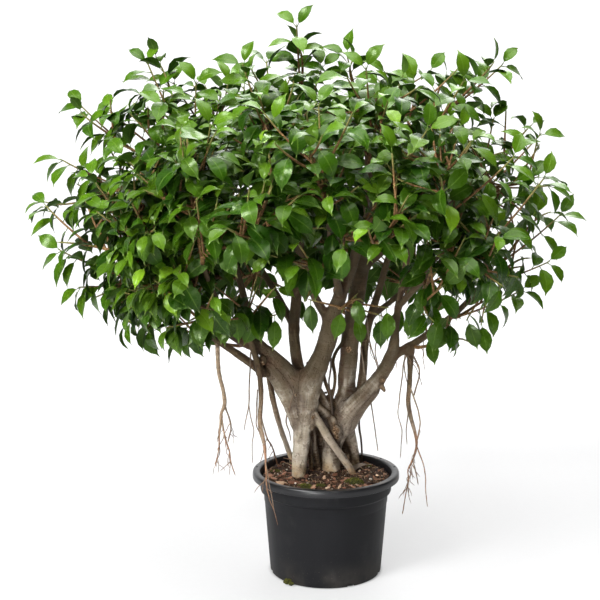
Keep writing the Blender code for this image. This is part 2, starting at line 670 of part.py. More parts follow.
def build_soil():
    points, faces = soil_mesh()
    soil = add_object("soil", points, faces, "soil")
    combine(soil, chip_meshes(), "UNION")
    holes = []
    for name in SOIL_LEGS:
        points, radii = knots(LIMBS.get(name) or ROOTS[name])
        line = np.array(points[:3])
        line[0] = line[0] - unit(line[1] - line[0]) * SOIL_CLEARANCE
        holes.append(tube_mesh(line, radii[:3] + SOIL_CLEARANCE * 1.3, tube_sides(max(radii))))
    combine(soil, holes, "DIFFERENCE")
    return soil


def tube_sides(radius):
    for least, sides in ((0.0155, 8), (0.010, 7), (0.0078, 6), (0.0042, 5), (0.0023, 4)):
        if radius > least:
            return sides
    return 3


def build_trunk():
    pieces = []
    for table in list(LIMBS.values()) + list(ROOTS.values()):
        line, radii = knots(table)
        pieces.append(tube_mesh(line, radii, tube_sides(max(radii))))
    trunk = add_object("trunk", *pieces[0], "trunk")
    combine(trunk, pieces[1:], "UNION")
    return trunk


def tree_of(points, faces):
    return BVHTree.FromPolygons([Vector(p) for p in points], [tuple(f) for f in faces])


def object_tree(made):
    return tree_of([v.co for v in made.data.vertices], [tuple(p.vertices) for p in made.data.polygons])


def seat_of(plan, trunk_tree):
    """The point just off the trunk where a stem starts, and the trunk's own normal there."""
    place, growth, radius = plan["bud"]
    out = unit(plan["stem"][0] - place) if radius > 0.0 else growth
    origin = place + out * (radius + 0.012)
    hit, normal, _, _ = trunk_tree.ray_cast(Vector(origin), Vector(-out), 0.04)
    normal = np.array(normal)
    return np.array(hit) + normal * SEAT_GAP, normal


def branch_bones(plan, trunk_tree):
    """The stem and side shoots of one branch as closed tubes."""
    seat, normal = seat_of(plan, trunk_tree)
    stem = plan["stem"]
    line = np.array([seat] + [along(stem, t)[0] for t in (0.22, 0.48, 0.74, 1.0)])
    radii = np.linspace(STEM_RADII[0], STEM_RADII[1], len(line))
    bones = [tube_mesh(line, radii, 4, normal)]
    lines = [line]
    for shoot in solid_shoots(plan):
        root = nearest_on(line, shoot[0])
        path = shoot_line(root, *shoot[1:], 4)[[0, 1, 3]]
        bones.append(tube_mesh(path, SHOOT_RADII, 3))
        lines.append(path)
    return bones, lines


def solid_shoots(plan):
    return [s for s in plan["shoots"] if s][:SOLID_SHOOTS]


def nearest_on(line, point):
    """The point of a jointed line that is nearest to this one."""
    best = None
    for a, b in zip(line[:-1], line[1:]):
        share = np.dot(point - a, b - a) / np.dot(b - a, b - a)
        spot = a + (b - a) * min(max(share, 0.0), 1.0)
        gap = np.linalg.norm(spot - point)
        if best is None or gap < best[0]:
            best = (gap, spot)
    return best[1]


class Crowd:
    """The shapes that a new leaf must stay clear of, by owner."""

    def __init__(self):
        self.shapes = []

    def add(self, owner, points, faces):
        points = np.array(points, float)
        self.shapes.append((owner, points.min(axis=0), points.max(axis=0), tree_of(points, faces), points))

    def is_clear(self, points, faces, own):
        low = points.min(axis=0) - LEAF_CLEARANCE
        high = points.max(axis=0) + LEAF_CLEARANCE
        mine = tree_of(points, faces)
        middles = [points[list(face)].mean(axis=0) for face in faces]
        probes = np.vstack([points, middles])
        for owner, least, most, tree, corners in self.shapes:
            if (least > high).any() or (most < low).any():
                continue
            if mine.overlap(tree):
                return False
            if owner == own:
                continue
            if any(tree.find_nearest(Vector(p), LEAF_CLEARANCE)[0] for p in probes):
                return False
            if any(mine.find_nearest(Vector(p), LEAF_CLEARANCE)[0] for p in corners[:400]):
                return False
        return True


def leaf_choices(plan, lines):
    """Leaves in the order in which they are tried: tips first, then inwards by turns."""
    rows = [plan["stem_leaves"]]
    used = [k for k, s in enumerate(plan["shoots"]) if s][:SOLID_SHOOTS]
    rows += [plan["shoot_leaves"][k] for k in used]
    order = []
    for place in (0, 3, 6, 2, 5, 8, 4, 1, 7, 9):
        for line, leaves in zip(lines, rows):
            if place < len(leaves):
                leaf = dict(leaves[place])
                leaf["point"] = nearest_on(line, leaf["point"])
                order.append(leaf)
    return order


def blade_only(faces):
    """The faces of a leaf beyond its stalk."""
    return [face for face in faces if min(face) > 2]


def build_crown(pot, soil, trunk):
    trunk_tree = object_tree(trunk)
    plans = plan_crown()
    crowd = Crowd()
    for name, made in (("pot", pot), ("soil", soil), ("trunk", trunk)):
        points = [v.co for v in made.data.vertices]
        crowd.add(name, points, [tuple(p.vertices) for p in made.data.polygons])
    parts = []
    for number, plan in enumerate(plans):
        bones, lines = branch_bones(plan, trunk_tree)
        for points, faces in bones:
            crowd.add(number, points, faces)
        parts.append({"pieces": bones, "order": leaf_choices(plan, lines)})
    for _ in range(LEAVES_PER_BRANCH):
        for number, part in enumerate(parts):
            while part["order"]:
                points, faces = leaf_mesh(part["order"].pop(0))
                if crowd.is_clear(points, blade_only(faces), number):
                    crowd.add(number, points, blade_only(faces))
                    part["pieces"].append((points, faces))
                    break
    for number, part in enumerate(parts):
        name = "leafy_branch_%02d" % (number + 1)
        branch = add_object(name, *part["pieces"][0], "leafy_branch")
        combine(branch, part["pieces"][1:], "UNION")


def main():
    clear_scene()
    pot = build_pot()
    soil = build_soil()
    trunk = build_trunk()
    build_crown(pot, soil, trunk)


main()
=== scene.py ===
"""Potted ficus: the looks of its crown, trunk, roots, soil and pot.

The origin is the centre of the pot's underside, +Z is up, and the front is seen along +Y.
Lengths are in metres, except in the tables of points, which are in millimetres.
"""

import math

import bmesh
import bpy
import numpy as np
from mathutils import Euler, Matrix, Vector


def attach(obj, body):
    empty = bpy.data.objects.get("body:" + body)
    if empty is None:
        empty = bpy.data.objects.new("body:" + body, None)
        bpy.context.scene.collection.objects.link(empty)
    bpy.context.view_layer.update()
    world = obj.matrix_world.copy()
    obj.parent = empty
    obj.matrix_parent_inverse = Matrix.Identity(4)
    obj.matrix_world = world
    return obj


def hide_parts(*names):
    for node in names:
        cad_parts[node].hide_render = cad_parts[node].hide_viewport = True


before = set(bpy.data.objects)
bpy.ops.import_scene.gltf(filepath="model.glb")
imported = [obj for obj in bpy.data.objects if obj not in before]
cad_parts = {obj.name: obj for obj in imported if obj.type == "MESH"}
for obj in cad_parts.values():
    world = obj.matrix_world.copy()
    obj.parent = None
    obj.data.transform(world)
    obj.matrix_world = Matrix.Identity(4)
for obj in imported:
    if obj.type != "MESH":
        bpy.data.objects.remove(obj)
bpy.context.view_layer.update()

MM = 0.001
SEED = 41
UP = np.array((0.0, 0.0, 1.0))

# Trunk: each limb is a list of x, y, z and radius, in millimetres
LIMBS = {
    "left_trunk": [
        (-53, 0, 140, 12.5), (-52, 0, 180, 13.5), (-49, 0, 226, 15), (-44, 0, 276, 18), (-38, 0, 319, 21),
        (-34, -2, 356, 25), (-16, -10, 399, 19), (1, -20, 445, 17.5), (8, -30, 485, 15.5),
        (24, -40, 533, 12.5), (44, -60, 587, 10), (57, -80, 647, 8), (66, -100, 710, 6),
        (70, -120, 770, 4.2)],
    "left_bough": [
        (-42, 0, 328, 19), (-66, -4, 376, 17), (-96, -10, 410, 13), (-122, -18, 432, 11.5),
        (-160, -30, 451, 10), (-206, -50, 489, 8.5), (-247, -70, 533, 7), (-289, -90, 568, 5.8),
        (-335, -105, 600, 4.2)],
    "left_riser": [
        (-120, -18, 430, 8.5), (-136, 0, 460, 7.5), (-150, 30, 499, 7), (-164, 50, 547, 6.2),
        (-180, 60, 605, 5.5), (-198, 66, 668, 4.6), (-215, 66, 735, 3.6)],
    "back_stem": [
        (-45, 14, 362, 11), (-55, 32, 400, 11), (-61, 45, 450, 10.5), (-57, 58, 510, 10), (-51, 70, 575, 9),
        (-51, 79, 650, 8), (-55, 80, 730, 6.5), (-56, 80, 820, 5), (-50, 78, 885, 3.8)],
    "middle_riser": [
        (6, -27, 482, 8), (-16, -30, 520, 7.5), (-35, -40, 561, 7), (-49, -50, 617, 5.8),
        (-66, -62, 680, 4.8), (-78, -70, 745, 3.6)],
    "right_trunk": [
        (10, 42, 140, 14.5), (11, 40, 180, 15), (13, 35, 225, 16.5), (24, 30, 263, 19), (47, 20, 305, 18.5),
        (80, 10, 344, 15), (105, 0, 379, 13.5), (121, -10, 414, 12), (127, -20, 445, 9),
        (128, -30, 479, 6.8), (132, -40, 518, 6.5), (138, -60, 564, 6), (146, -80, 621, 5.5),
        (157, -100, 684, 4.8), (168, -115, 745, 3.6)],
    "middle_trunk": [
        (24, 32, 264, 16), (34, 40, 290, 18), (40, 50, 331, 18), (44, 55, 390, 17.5), (49, 60, 448, 17),
        (58, 61, 507, 15.5), (71, 60, 575, 13), (80, 58, 652, 10.5), (82, 52, 728, 8), (78, 50, 803, 6),
        (72, 50, 865, 4)],
    "back_right_stem": [
        (50, 40, 292, 9.5), (66, 56, 325, 8.5), (74, 75, 365, 8.5), (79, 90, 422, 8), (89, 102, 470, 7.5),
        (105, 120, 517, 7), (126, 140, 584, 6), (147, 160, 652, 5), (160, 175, 715, 3.8)],
    "right_bough": [
        (119, -10, 412, 8), (153, -10, 433, 7.2), (183, 0, 450, 6.6), (214, 10, 471, 6),
        (253, 20, 500, 5.5), (291, 30, 537, 5), (325, 36, 575, 3.8)],
    "front_bough": [
        (24, -40, 533, 7.5), (16, -100, 568, 6.5), (8, -165, 606, 5.5), (0, -230, 648, 4.5),
        (-6, -285, 690, 3.5)],
    "front_left_bough": [
        (-160, -30, 451, 6.5), (-176, -85, 486, 6), (-190, -150, 530, 5.2), (-200, -215, 575, 4.4),
        (-206, -275, 615, 3.5)],
    "front_right_bough": [
        (131, -38, 512, 5.8), (154, -98, 552, 5.2), (178, -160, 590, 4.5), (198, -220, 625, 3.5)],
    "back_bough": [
        (46, 57, 420, 8), (52, 118, 464, 7.2), (56, 185, 518, 6.2), (60, 250, 575, 5), (62, 312, 635, 3.8)],
    "back_left_bough": [
        (-60, 46, 458, 7.5), (-85, 108, 500, 6.6), (-120, 168, 550, 5.6), (-158, 222, 608, 4.6),
        (-192, 270, 664, 3.5)],
    "far_right_bough": [
        (90, 103, 474, 6), (140, 142, 506, 5.4), (198, 182, 550, 4.6), (252, 216, 600, 3.6)],
    "left_high_bough": [
        (-182, 60, 615, 5.4), (-232, 52, 665, 4.9), (-284, 38, 718, 4.3), (-330, 24, 772, 3.5)],
    "right_high_bough": [
        (81, 57, 690, 6), (125, 48, 748, 5.2), (174, 38, 806, 4.4), (218, 28, 862, 3.5)],
    "right_mid_bough": [
        (70, 60, 572, 6.5), (128, 68, 622, 5.8), (188, 74, 668, 5), (246, 76, 708, 4.3), (302, 72, 748, 3.5)],
}
ROOTS = {
    "right_leg": [
        (61, 62, 140, 8.5), (59, 60, 178, 9), (55, 55, 219, 10), (46, 45, 262, 11), (40, 37, 292, 10)],
    "crossing_root": [
        (62, 22, 140, 5.5), (55, 15, 177, 6), (33, 0, 216, 7.2), (8, -10, 253, 7.6), (-15, -13, 292, 8),
        (-32, -7, 314, 8.5)],
    "left_prop_root": [
        (-62, 92, 140, 4.5), (-65, 90, 181, 4.8), (-73, 80, 211, 5), (-87, 60, 258, 5.2),
        (-100, 40, 314, 5.4), (-108, 10, 371, 5.8), (-112, -12, 414, 6)],
    "thin_leg_left": [
        (-25, 42, 140, 4), (-26, 40, 175, 4.5), (-30, 30, 217, 5), (-33, 18, 262, 5), (-40, 6, 290, 5)],
    "thin_leg_right": [
        (-8, 52, 140, 4), (-10, 50, 175, 4.5), (-18, 40, 213, 5), (-24, 20, 260, 5), (-32, 6, 300, 5)],
    "bridge": [
        (-36, 0, 333, 10), (-20, 8, 317, 9), (-2, 18, 298, 9.5), (16, 28, 272, 12)],
    "inner_root": [
        (4, -8, 434, 2.2), (9, 0, 400, 1.9), (6, 8, 365, 1.7), (10, 16, 330, 1.7), (14, 22, 292, 2)],
    "left_hanging_root": [
        (-136, -28, 436, 5), (-126, -46, 402, 4.6), (-121, -60, 352, 4.4), (-123, -72, 300, 4.2),
        (-114, -84, 264, 3.2), (-112, -98, 238, 2), (-110, -116, 208, 1.3), (-105, -126, 180, 1),
        (-97, -128, 158, 0.9), (-90, -124, 130, 0.8)],
    "left_hanging_branch": [
        (-122, -68, 318, 1.8), (-117, -50, 290, 1.5), (-112, -20, 262, 1.4), (-104, 20, 235, 1.4),
        (-98, 50, 205, 1.3), (-95, 60, 186, 1.1)],
    "far_left_root": [
        (-200, -47, 482, 3.2), (-201, -50, 440, 3), (-199, -50, 395, 2.8), (-191, -50, 357, 2.7),
        (-189, -50, 332, 2.6), (-195, -50, 316, 2.4), (-197, -50, 296, 2), (-199, -52, 277, 1.5),
        (-200, -54, 250, 1.1), (-206, -54, 222, 0.9)],
    "far_left_branch": [
        (-190, -50, 330, 1.6), (-181, -46, 307, 1.3), (-178, -44, 289, 1.2), (-183, -46, 262, 1.2)],
    "far_left_tail": [
        (-196, -50, 312, 1.8), (-192, -48, 285, 1.7), (-187, -47, 262, 1.6), (-181, -46, 243, 1.4),
        (-178, -48, 222, 1.1), (-171, -50, 200, 0.9)],
    "right_hanging_root": [
        (158, -10, 434, 6.5), (158, -10, 405, 6), (158, -10, 392, 4.9), (157, -10, 360, 4.8),
        (155, -10, 331, 4.6), (158, -10, 308, 4.3), (163, -10, 289, 3.8), (169, -10, 268, 3),
        (172, -10, 243, 2.4), (166, -10, 217, 1.8), (157, -10, 198, 1.3), (157, -10, 178, 1.1),
        (153, -10, 150, 1), (147, -10, 112, 0.9)],
    "right_hanging_branch": [
        (171, -10, 246, 1.4), (184, -12, 212, 1.1), (189, -13, 186, 1), (190, -13, 160, 0.9),
        (194, -13, 128, 0.8)],
    "right_hanging_loop": [
        (158, -12, 358, 1.8), (167, -18, 331, 1.5), (174, -20, 308, 1.4), (177, -18, 284, 1.3),
        (172, -11, 250, 1.3)],
}

# Crown: where each leafy branch's stem ends, in millimetres
BRANCH_TIPS = [
    (-528, 30, 703), (-483, -60, 633), (-448, 50, 518), (-364, -80, 489), (-302, 20, 437), (-440, -40, 862),
    (-463, 90, 753), (-313, 20, 965), (-343, -90, 856), (-228, 80, 918), (-133, -70, 934), (-53, 30, 992),
    (46, 0, 960), (129, -80, 921), (227, 70, 939), (298, -20, 952), (383, 40, 845), (368, -80, 749),
    (426, 60, 682), (370, -30, 602), (334, 80, 510), (260, -40, 449), (211, 100, 434), (-230, -230, 515),
    (-40, -330, 560), (165, -260, 520), (-330, -200, 650), (-120, -360, 660), (85, -350, 650),
    (270, -230, 620), (-245, -290, 775), (-35, -350, 790), (175, -290, 775), (-120, -230, 890),
    (95, -200, 890), (-210, 270, 520), (-10, 345, 545), (190, 290, 525), (-330, 220, 640), (-110, 385, 650),
    (90, 390, 655), (290, 240, 640), (-240, 300, 775), (-30, 350, 785), (185, 300, 770), (-110, 230, 885),
    (80, 220, 900), (-140, -130, 505), (60, -130, 535), (20, 190, 520)]
CROWN_CENTRE = (0.0, 0.0, 0.68)
CROWN_RADII = (0.59, 0.48, 0.39)
LOWEST_BUD = 0.43
BUD_SPACING = 0.020
END_TURN_WEIGHT = 0.16
SIDE_TURN_WEIGHT = 0.08
SHORTEST_STEM = 0.10
STEM_ROOM = 0.004
STEM_BOW = 0.012
STEM_TRIALS = 14
STEM_ROOT_REACH = 0.022
STEM_RADII = (0.0032, 0.0016)
STEM_GIRTH = (STEM_RADII[0] * 1.12, STEM_RADII[1] * 0.8)
SHOOT_RADII = (0.0013, 0.0019, 0.0015)
SHOOT_SHARES = (0.42, 0.66, 0.54, 0.78, 0.88)
SHOOT_LENGTH = 0.125
SHOOT_SPREAD = math.radians(48)
SHOOT_ROOM = 0.003
SHOOT_TRIALS = 7
SHOOT_TURN = 0.9
LOWEST_SHOOT = 0.43
GOLDEN_ANGLE = math.radians(137.5)
PLAN_STEPS = 13

# Leaf
LEAF_LENGTH = 0.057
LEAF_HALF_WIDTH = 0.27
LEAF_SPACING = 0.0155
STEM_BARE_SHARE = 0.34
SHOOT_BARE_SHARE = 0.20
LEAF_ARCH = math.radians(34)
LEAF_FOLD = math.radians(14)
PETIOLE_LENGTH = 0.009

# Crown: its outline seen from the front, without the shoots that stand out of it, in x and z
CROWN_OUTLINE = [
    (-476, 690), (-422, 785), (-362, 850), (-326, 886), (-286, 890), (-230, 868), (-160, 884), (-95, 920),
    (-50, 934), (0, 922), (45, 922), (95, 903), (150, 890), (200, 898), (255, 903), (310, 880), (340, 820),
    (366, 715), (360, 620), (342, 545), (305, 475), (285, 395), (235, 400), (190, 420), (130, 455),
    (60, 470), (-20, 470), (-80, 452), (-130, 436), (-190, 425), (-230, 420), (-270, 385), (-330, 410),
    (-395, 450), (-450, 520), (-490, 610)]
CROWN_MIDDLE = (-0.05, 0.0, 0.70)
CROWN_DEPTH = 0.455
CROWN_ROUNDING = 2.4
HEM_TOP = 0.62
HEM_LIMIT = 0.99
FILL_CANDIDATES = 6500
FILL_SHOOTS = 625
FILL_REACH = 0.83
FILL_LIMIT = 0.99
SHOOT_LIMIT = 1.05
FEWEST_LEAVES = 3
AT_ONCE = 200
FILL_CLEARANCE = 0.001
FILL_RADIUS = 0.0012
FILL_LENGTHS = (0.055, 0.110)
TWIG_STEP = 0.008
TWIG_SIDES = 6
TWIG_GIRTH = (0.0022, 0.0013)
TWIG_KNUCKLES = 0.16
BUD_POINT = 0.007
# Shoots that stand out of the crown: where each ends
LEADERS = [
    (-55, 0, 1016), (-109, -20, 949), (39, 20, 968), (106, -20, 935), (-184, 20, 917), (-237, -30, 909),
    (-323, 0, 948), (-281, 40, 919), (189, 10, 942), (231, -30, 941), (316, 0, 951), (283, 40, 919),
    (-12, 50, 946), (150, -50, 901), (-144, -80, 898), (-446, 0, 876), (-389, -30, 867), (-493, 20, 782),
    (-512, -30, 697), (-483, -60, 619), (-465, -20, 546), (389, 0, 825), (410, -30, 734), (242, -50, 865),
    (313, 50, 849), (319, -50, 795), (281, 60, 820), (438, 30, 677), (407, -30, 595), (366, 0, 540),
    (-140, -180, 925), (60, -190, 920), (220, -170, 905), (-280, -150, 890), (-60, 200, 960),
    (110, 190, 940), (-200, 200, 925), (250, 170, 905), (-20, -300, 850), (140, -310, 815),
    (-190, -300, 820), (-330, -240, 780), (290, -250, 780), (-400, -150, 745), (360, -160, 745),
    (-100, 340, 850), (120, 330, 840), (-300, 260, 800), (300, 260, 790)]
LEADER_SPACING = 0.0150
# Short shoots at the lower edge, each with single hanging leaves: where each ends
HEM_SHOOTS = [
    (-30, -50, 527), (27, -100, 517), (50, -90, 540), (51, -60, 503), (106, -80, 517), (96, -60, 500),
    (182, -60, 463), (-161, -120, 520), (-94, -100, 506), (-124, -110, 508), (-140, -90, 528),
    (150, -90, 520), (200, -110, 505), (262, -20, 488), (290, -10, 480), (-60, 120, 520), (60, 150, 525),
    (150, 90, 500), (-150, 110, 500), (-190, -120, 515)]
HEM_LENGTH = 0.060
LEADER_LENGTH = 0.13
ARCH_GAIN = 1.5
TOP_ARCH_GAIN = 1.1
FOLD_GAIN = 1.6

# Leaf blade: places along the rib and the half width there, as shares of the greatest
BLADE_ROWS = [(0.11, 0.50), (0.30, 0.92), (0.51, 0.98), (0.715, 0.60), (0.855, 0.14)]
BLADE_COLUMNS = (-0.5, 0.0, 0.5)
BLADE_THICK = {0.0: 0.00050, 0.5: 0.00022}
STALK_RINGS = [(0.0, 0.0, 0.00112), (0.55, 0.0, 0.00090), (1.0, 0.035, 0.00070)]
STALK_SIDES = 3
# What is painted on each leaf's loose point, and what it is called in the plan
LEAF_LAYERS = {"leaf_root": "point", "leaf_forward": "forward", "leaf_normal": "normal"}


class Wire:
    """A socket that can be reckoned with."""

    def __init__(self, graph, socket):
        self.graph = graph
        self.socket = socket

    def work(self, operation, *others):
        values = (self,) + others
        kind = "ShaderNodeVectorMath" if any(map(has_parts, values)) else "ShaderNodeMath"
        return self.graph.wire(kind, dict(enumerate(values)), operation=operation)

    def __add__(self, other):
        return self.work("ADD", other)

    def __sub__(self, other):
        return self.work("SUBTRACT", other)

    def __mul__(self, other):
        if has_parts(self) == has_parts(other):
            return self.work("MULTIPLY", other)
        vector, number = (self, other) if has_parts(self) else (other, self)
        return self.graph.wire("ShaderNodeVectorMath", {0: vector, 3: number}, operation="SCALE")

    def __truediv__(self, other):
        return self.work("DIVIDE", other)

    def parts(self):
        made = self.graph.node("ShaderNodeSeparateXYZ", {0: self})
        return [Wire(self.graph, made.outputs[k]) for k in range(3)]

    def span(self, low, high, start=0.0, end=1.0):
        """This value stretched so that low..high becomes start..end, smoothly and clamped."""
        return self.graph.wire("ShaderNodeMapRange", {0: self, 1: low, 2: high, 3: start, 4: end},
                               interpolation_type="SMOOTHSTEP")


def has_parts(value):
    """Whether a value is a vector or a colour."""
    return isinstance(value, tuple) or (isinstance(value, Wire) and value.socket.type in ("VECTOR", "RGBA"))


class Graph:
    """A node tree, built in the order of the work."""

    def __init__(self, tree):
        self.tree = tree

    def node(self, kind, values=None, **settings):
        made = self.tree.nodes.new(kind)
        for key, setting in settings.items():
            setattr(made, key, setting)
        for key, value in (values or {}).items():
            self.join(value, made.inputs[key])
        return made

    def join(self, value, socket):
        if isinstance(value, Wire):
            self.tree.links.new(value.socket, socket)
        else:
            socket.default_value = (*value, 1.0) if socket.type == "RGBA" else value

    def wire(self, kind, values=None, output=0, **settings):
        return Wire(self, self.node(kind, values, **settings).outputs[output])

    def vector(self, x, y, z):
        return self.wire("ShaderNodeCombineXYZ", {0: x, 1: y, 2: z})

    def noise(self, place, scale, detail=3.0, roughness=0.55):
        values = {"Vector": place, "Scale": scale, "Detail": detail, "Roughness": roughness}
        return self.wire("ShaderNodeTexNoise", values)

    def mix(self, share, a, b):
        """Two colours mixed by a share."""
        return self.wire("ShaderNodeMix", {0: share, 6: a, 7: b}, 2, data_type="RGBA")

    def coats(self, colour, coats):
        """A colour with others laid over it in turn, each by its share."""
        for share, other in coats:
            colour = self.mix(share, colour, other)
        return colour

    def drawn(self, parts, across, down, detail=3.0, roughness=0.55):
        """Noise stretched along a run: its scale across the run, and down it."""
        x, y, run = parts
        return self.noise(self.vector(x * across, y * across, run * down), 1.0, detail, roughness)

    def ramp(self, value, stops):
        made = self.node("ShaderNodeValToRGB", {0: value})
        elements = made.color_ramp.elements
        while len(elements) < len(stops):
            elements.new(1.0)
        for element, (place, colour) in zip(elements, stops):
            element.position = place
            element.color = (*colour, 1.0)
        return Wire(self, made.outputs[0])


class Finish(Graph):
    """A material for one kind of surface, with its shader at hand."""

    def __init__(self, name, roughness):
        self.material = bpy.data.materials.new(name)
        self.material.use_nodes = True
        super().__init__(self.material.node_tree)
        self.shader = self.tree.nodes["Principled BSDF"]
        self.set("Roughness", roughness)

    def set(self, key, value):
        self.join(value, self.shader.inputs[key])

    def here(self):
        return self.wire("ShaderNodeTexCoord", output=3)

    def painted(self, name, output=1):
        """What is painted on the mesh: a vector, or with output 2 a number."""
        return self.wire("ShaderNodeAttribute", output=output, attribute_name=name)

    def relief(self, height, depth, strength=1.0):
        bump = self.wire("ShaderNodeBump", {"Height": height, "Distance": depth, "Strength": strength})
        self.set("Normal", bump)


class Growth(Graph):
    """A tree of geometry nodes with named inputs, run once to give a plain mesh."""

    def __init__(self, name, **inputs):
        super().__init__(bpy.data.node_groups.new(name, "GeometryNodeTree"))
        self.tree.is_modifier = True
        face = self.tree.interface
        for way in ("INPUT", "OUTPUT"):
            face.new_socket("Geometry", in_out=way, socket_type="NodeSocketGeometry")
        self.keys = {}
        for key, value in inputs.items():
            label = key.replace("_", " ").title()
            kind = value if isinstance(value, str) else type(value).__name__
            socket = face.new_socket(label, in_out="INPUT", socket_type="NodeSocket" + kind.title())
            if not isinstance(value, str):
                socket.default_value = value
            self.keys[key] = (label, socket.identifier)
        self.entry = self.tree.nodes.new("NodeGroupInput")

    def given(self, key=None):
        label = self.keys[key][0] if key else "Geometry"
        return Wire(self, self.entry.outputs[label])

    def geo(self, kind, output=0, **inputs):
        """A geometry node with its inputs by name, an underscore for each space."""
        values = {key.replace("_", " "): value for key, value in inputs.items()}
        return self.wire("GeometryNode" + kind, values, output)

    def joined(self, *shapes):
        both = self.node("GeometryNodeJoinGeometry")
        for shape in shapes:
            self.join(shape, both.inputs[0])
        return Wire(self, both.outputs[0])

    def named(self, name, kind="FLOAT"):
        return self.wire("GeometryNodeInputNamedAttribute", {"Name": name}, data_type=kind)

    def painted(self, name):
        """A vector painted on the mesh."""
        return self.named(name, "FLOAT_VECTOR")

    def store(self, shape, name, value, domain="POINT"):
        return self.wire("GeometryNodeStoreNamedAttribute",
                         {"Geometry": shape, "Name": name, "Value": value}, data_type="FLOAT", domain=domain)

    def chance(self, low, high, seed, extra):
        """A random number for each thing, from the tree's own seed."""
        return self.wire("FunctionNodeRandomValue", {2: low, 3: high, 8: seed + float(extra)}, 1)

    def tubes(self, edges, step, sides, girth=None, wobble=None):
        """Round tubes along the edges of a mesh, as thick as its girth says."""
        curve = self.geo("MeshToCurve", Mesh=edges)
        curve = self.wire("GeometryNodeCurveSplineType", {"Curve": curve}, spline_type="CATMULL_ROM")
        curve = self.wire("GeometryNodeResampleCurve", {"Curve": curve, "Length": step}, mode="LENGTH")
        if girth:
            curve = self.store(curve, "girth", girth)
            curve = self.geo("SetPosition", Geometry=curve, Offset=wobble)
        ring = self.geo("CurvePrimitiveCircle", Resolution=sides, Radius=1.0)
        return self.geo("CurveToMesh", Curve=curve, Profile_Curve=ring, Scale=self.named("girth"),
                        Fill_Caps=True)

    def moved(self, shape, offset):
        """A smooth shape with its points pushed by an offset."""
        return self.geo("SetShadeSmooth", Geometry=self.geo("SetPosition", Geometry=shape, Offset=offset))

    def end(self, shape, *finishes):
        """Closes the tree: real geometry, and a material for all of it or for each selection."""
        shape = self.wire("GeometryNodeRealizeInstances", {"Geometry": shape})
        for finish, *selection in finishes:
            values = {"Geometry": shape, "Material": self.given(finish)}
            if selection:
                values["Selection"] = selection[0]
            shape = self.wire("GeometryNodeSetMaterial", values)
        self.join(shape, self.tree.nodes.new("NodeGroupOutput").inputs[0])
        return self

    def grow(self, name, base, keep=(), **settings):
        """The plain mesh that the tree makes of a base mesh, as an object of its own."""
        piece = shown(name, base)
        modifier = piece.modifiers.new("growth", "NODES")
        modifier.node_group = self.tree
        for key, value in settings.items():
            modifier[self.keys[key][1]] = value
        mesh = settled(piece, preserve_all_data_layers=True)
        piece.modifiers.remove(modifier)
        piece.data = mesh
        mesh.name = name
        bpy.data.meshes.remove(base)
        keep_layers(mesh, keep)
        return piece


def settled(piece, **options):
    """A mesh of a piece as its modifiers make it."""
    depsgraph = bpy.context.evaluated_depsgraph_get()
    return bpy.data.meshes.new_from_object(piece.evaluated_get(depsgraph), depsgraph=depsgraph, **options)


def discard(piece):
    bpy.data.objects.remove(piece, do_unlink=True)


def keep_layers(mesh, keep):
    """Drops every attribute of a mesh that its material doesn't read."""
    needed = {"position", "sharp_face", "sharp_edge", "material_index"} | set(keep)
    for name in [a.name for a in mesh.attributes if not a.is_required and not a.is_internal]:
        if name not in needed:
            mesh.attributes.remove(mesh.attributes[name])


def plain_mesh(name, points, faces=(), edges=()):
    mesh = bpy.data.meshes.new(name)
    mesh.from_pydata([tuple(map(float, p)) for p in points], [tuple(e) for e in edges],
                     [tuple(f) for f in faces])
    return mesh


def paint(mesh, name, values):
    """Writes a number or a vector on each of a mesh's points."""
    values = np.asarray(values, np.float32)
    vectors = values.ndim == 2
    layer = mesh.attributes.new(name, "FLOAT_VECTOR" if vectors else "FLOAT", "POINT")
    layer.data.foreach_set("vector" if vectors else "value", values.ravel())


def in_scene(thing):
    bpy.context.scene.collection.objects.link(thing)
    return thing


def shown(name, mesh, *finishes):
    """A finished mesh as an object, with its materials."""
    for finish in finishes:
        mesh.materials.append(finish)
    return in_scene(bpy.data.objects.new(name, mesh))


def fit(piece, slot, *nodes):
    """Puts a finished piece in the frame: its body and what it stands for; its slot is not used."""
    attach(piece, "root")
    if nodes:
        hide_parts(*nodes)


def smooth_table(table, step):
    """A table's limb as close points on a smooth curve, with their radii."""
    rows = np.array(table, float) * MM
    rows = np.vstack([2 * rows[0] - rows[1], rows, 2 * rows[-1] - rows[-2]])
    found = []
    for a, b, c, d in zip(rows[:-3], rows[1:-2], rows[2:-1], rows[3:]):
        count = max(2, int(np.linalg.norm(c[:3] - b[:3]) / step))
        for t in np.arange(count) / count:
            found.append(0.5 * (2 * b + (c - a) * t + (2 * a - 5 * b + 4 * c - d) * t * t
                                + (3 * b - 3 * c + d - a) * t**3))
    found.append(rows[-2])
    found = np.array(found)
    return found[:, :3], found[:, 3]


def tube_faces(first, rings, sides):
    """The faces between rings of points, then a cap at each end; the first point has this number."""
    faces = []
    last = first + (rings - 1) * sides
    for start in range(first, last, sides):
        for k in range(sides):
            a = start + k
            b = start + (k + 1) % sides
            faces.append((a, b, b + sides, a + sides))
    return faces + [tuple(range(first + sides - 1, first - 1, -1)), tuple(range(last, last + sides))]


def tube(line, radii, sides):
    """A closed tube along a line."""
    directions = [unit(b - a) for a, b in zip(line[:-1], line[1:])]
    tangents = [directions[0]] + [unit(a + b) for a, b in zip(directions[:-1], directions[1:])]
    tangents.append(directions[-1])
    across = side_of(tangents[0])
    points = []
    for centre, tangent, radius in zip(line, tangents, radii):
        across = square_to(across, tangent)
        over = np.cross(tangent, across)
        for k in range(sides):
            angle = 2.0 * math.pi * k / sides
            points.append(centre + between(across, over, angle) * radius)
    return points, tube_faces(0, len(line), sides)


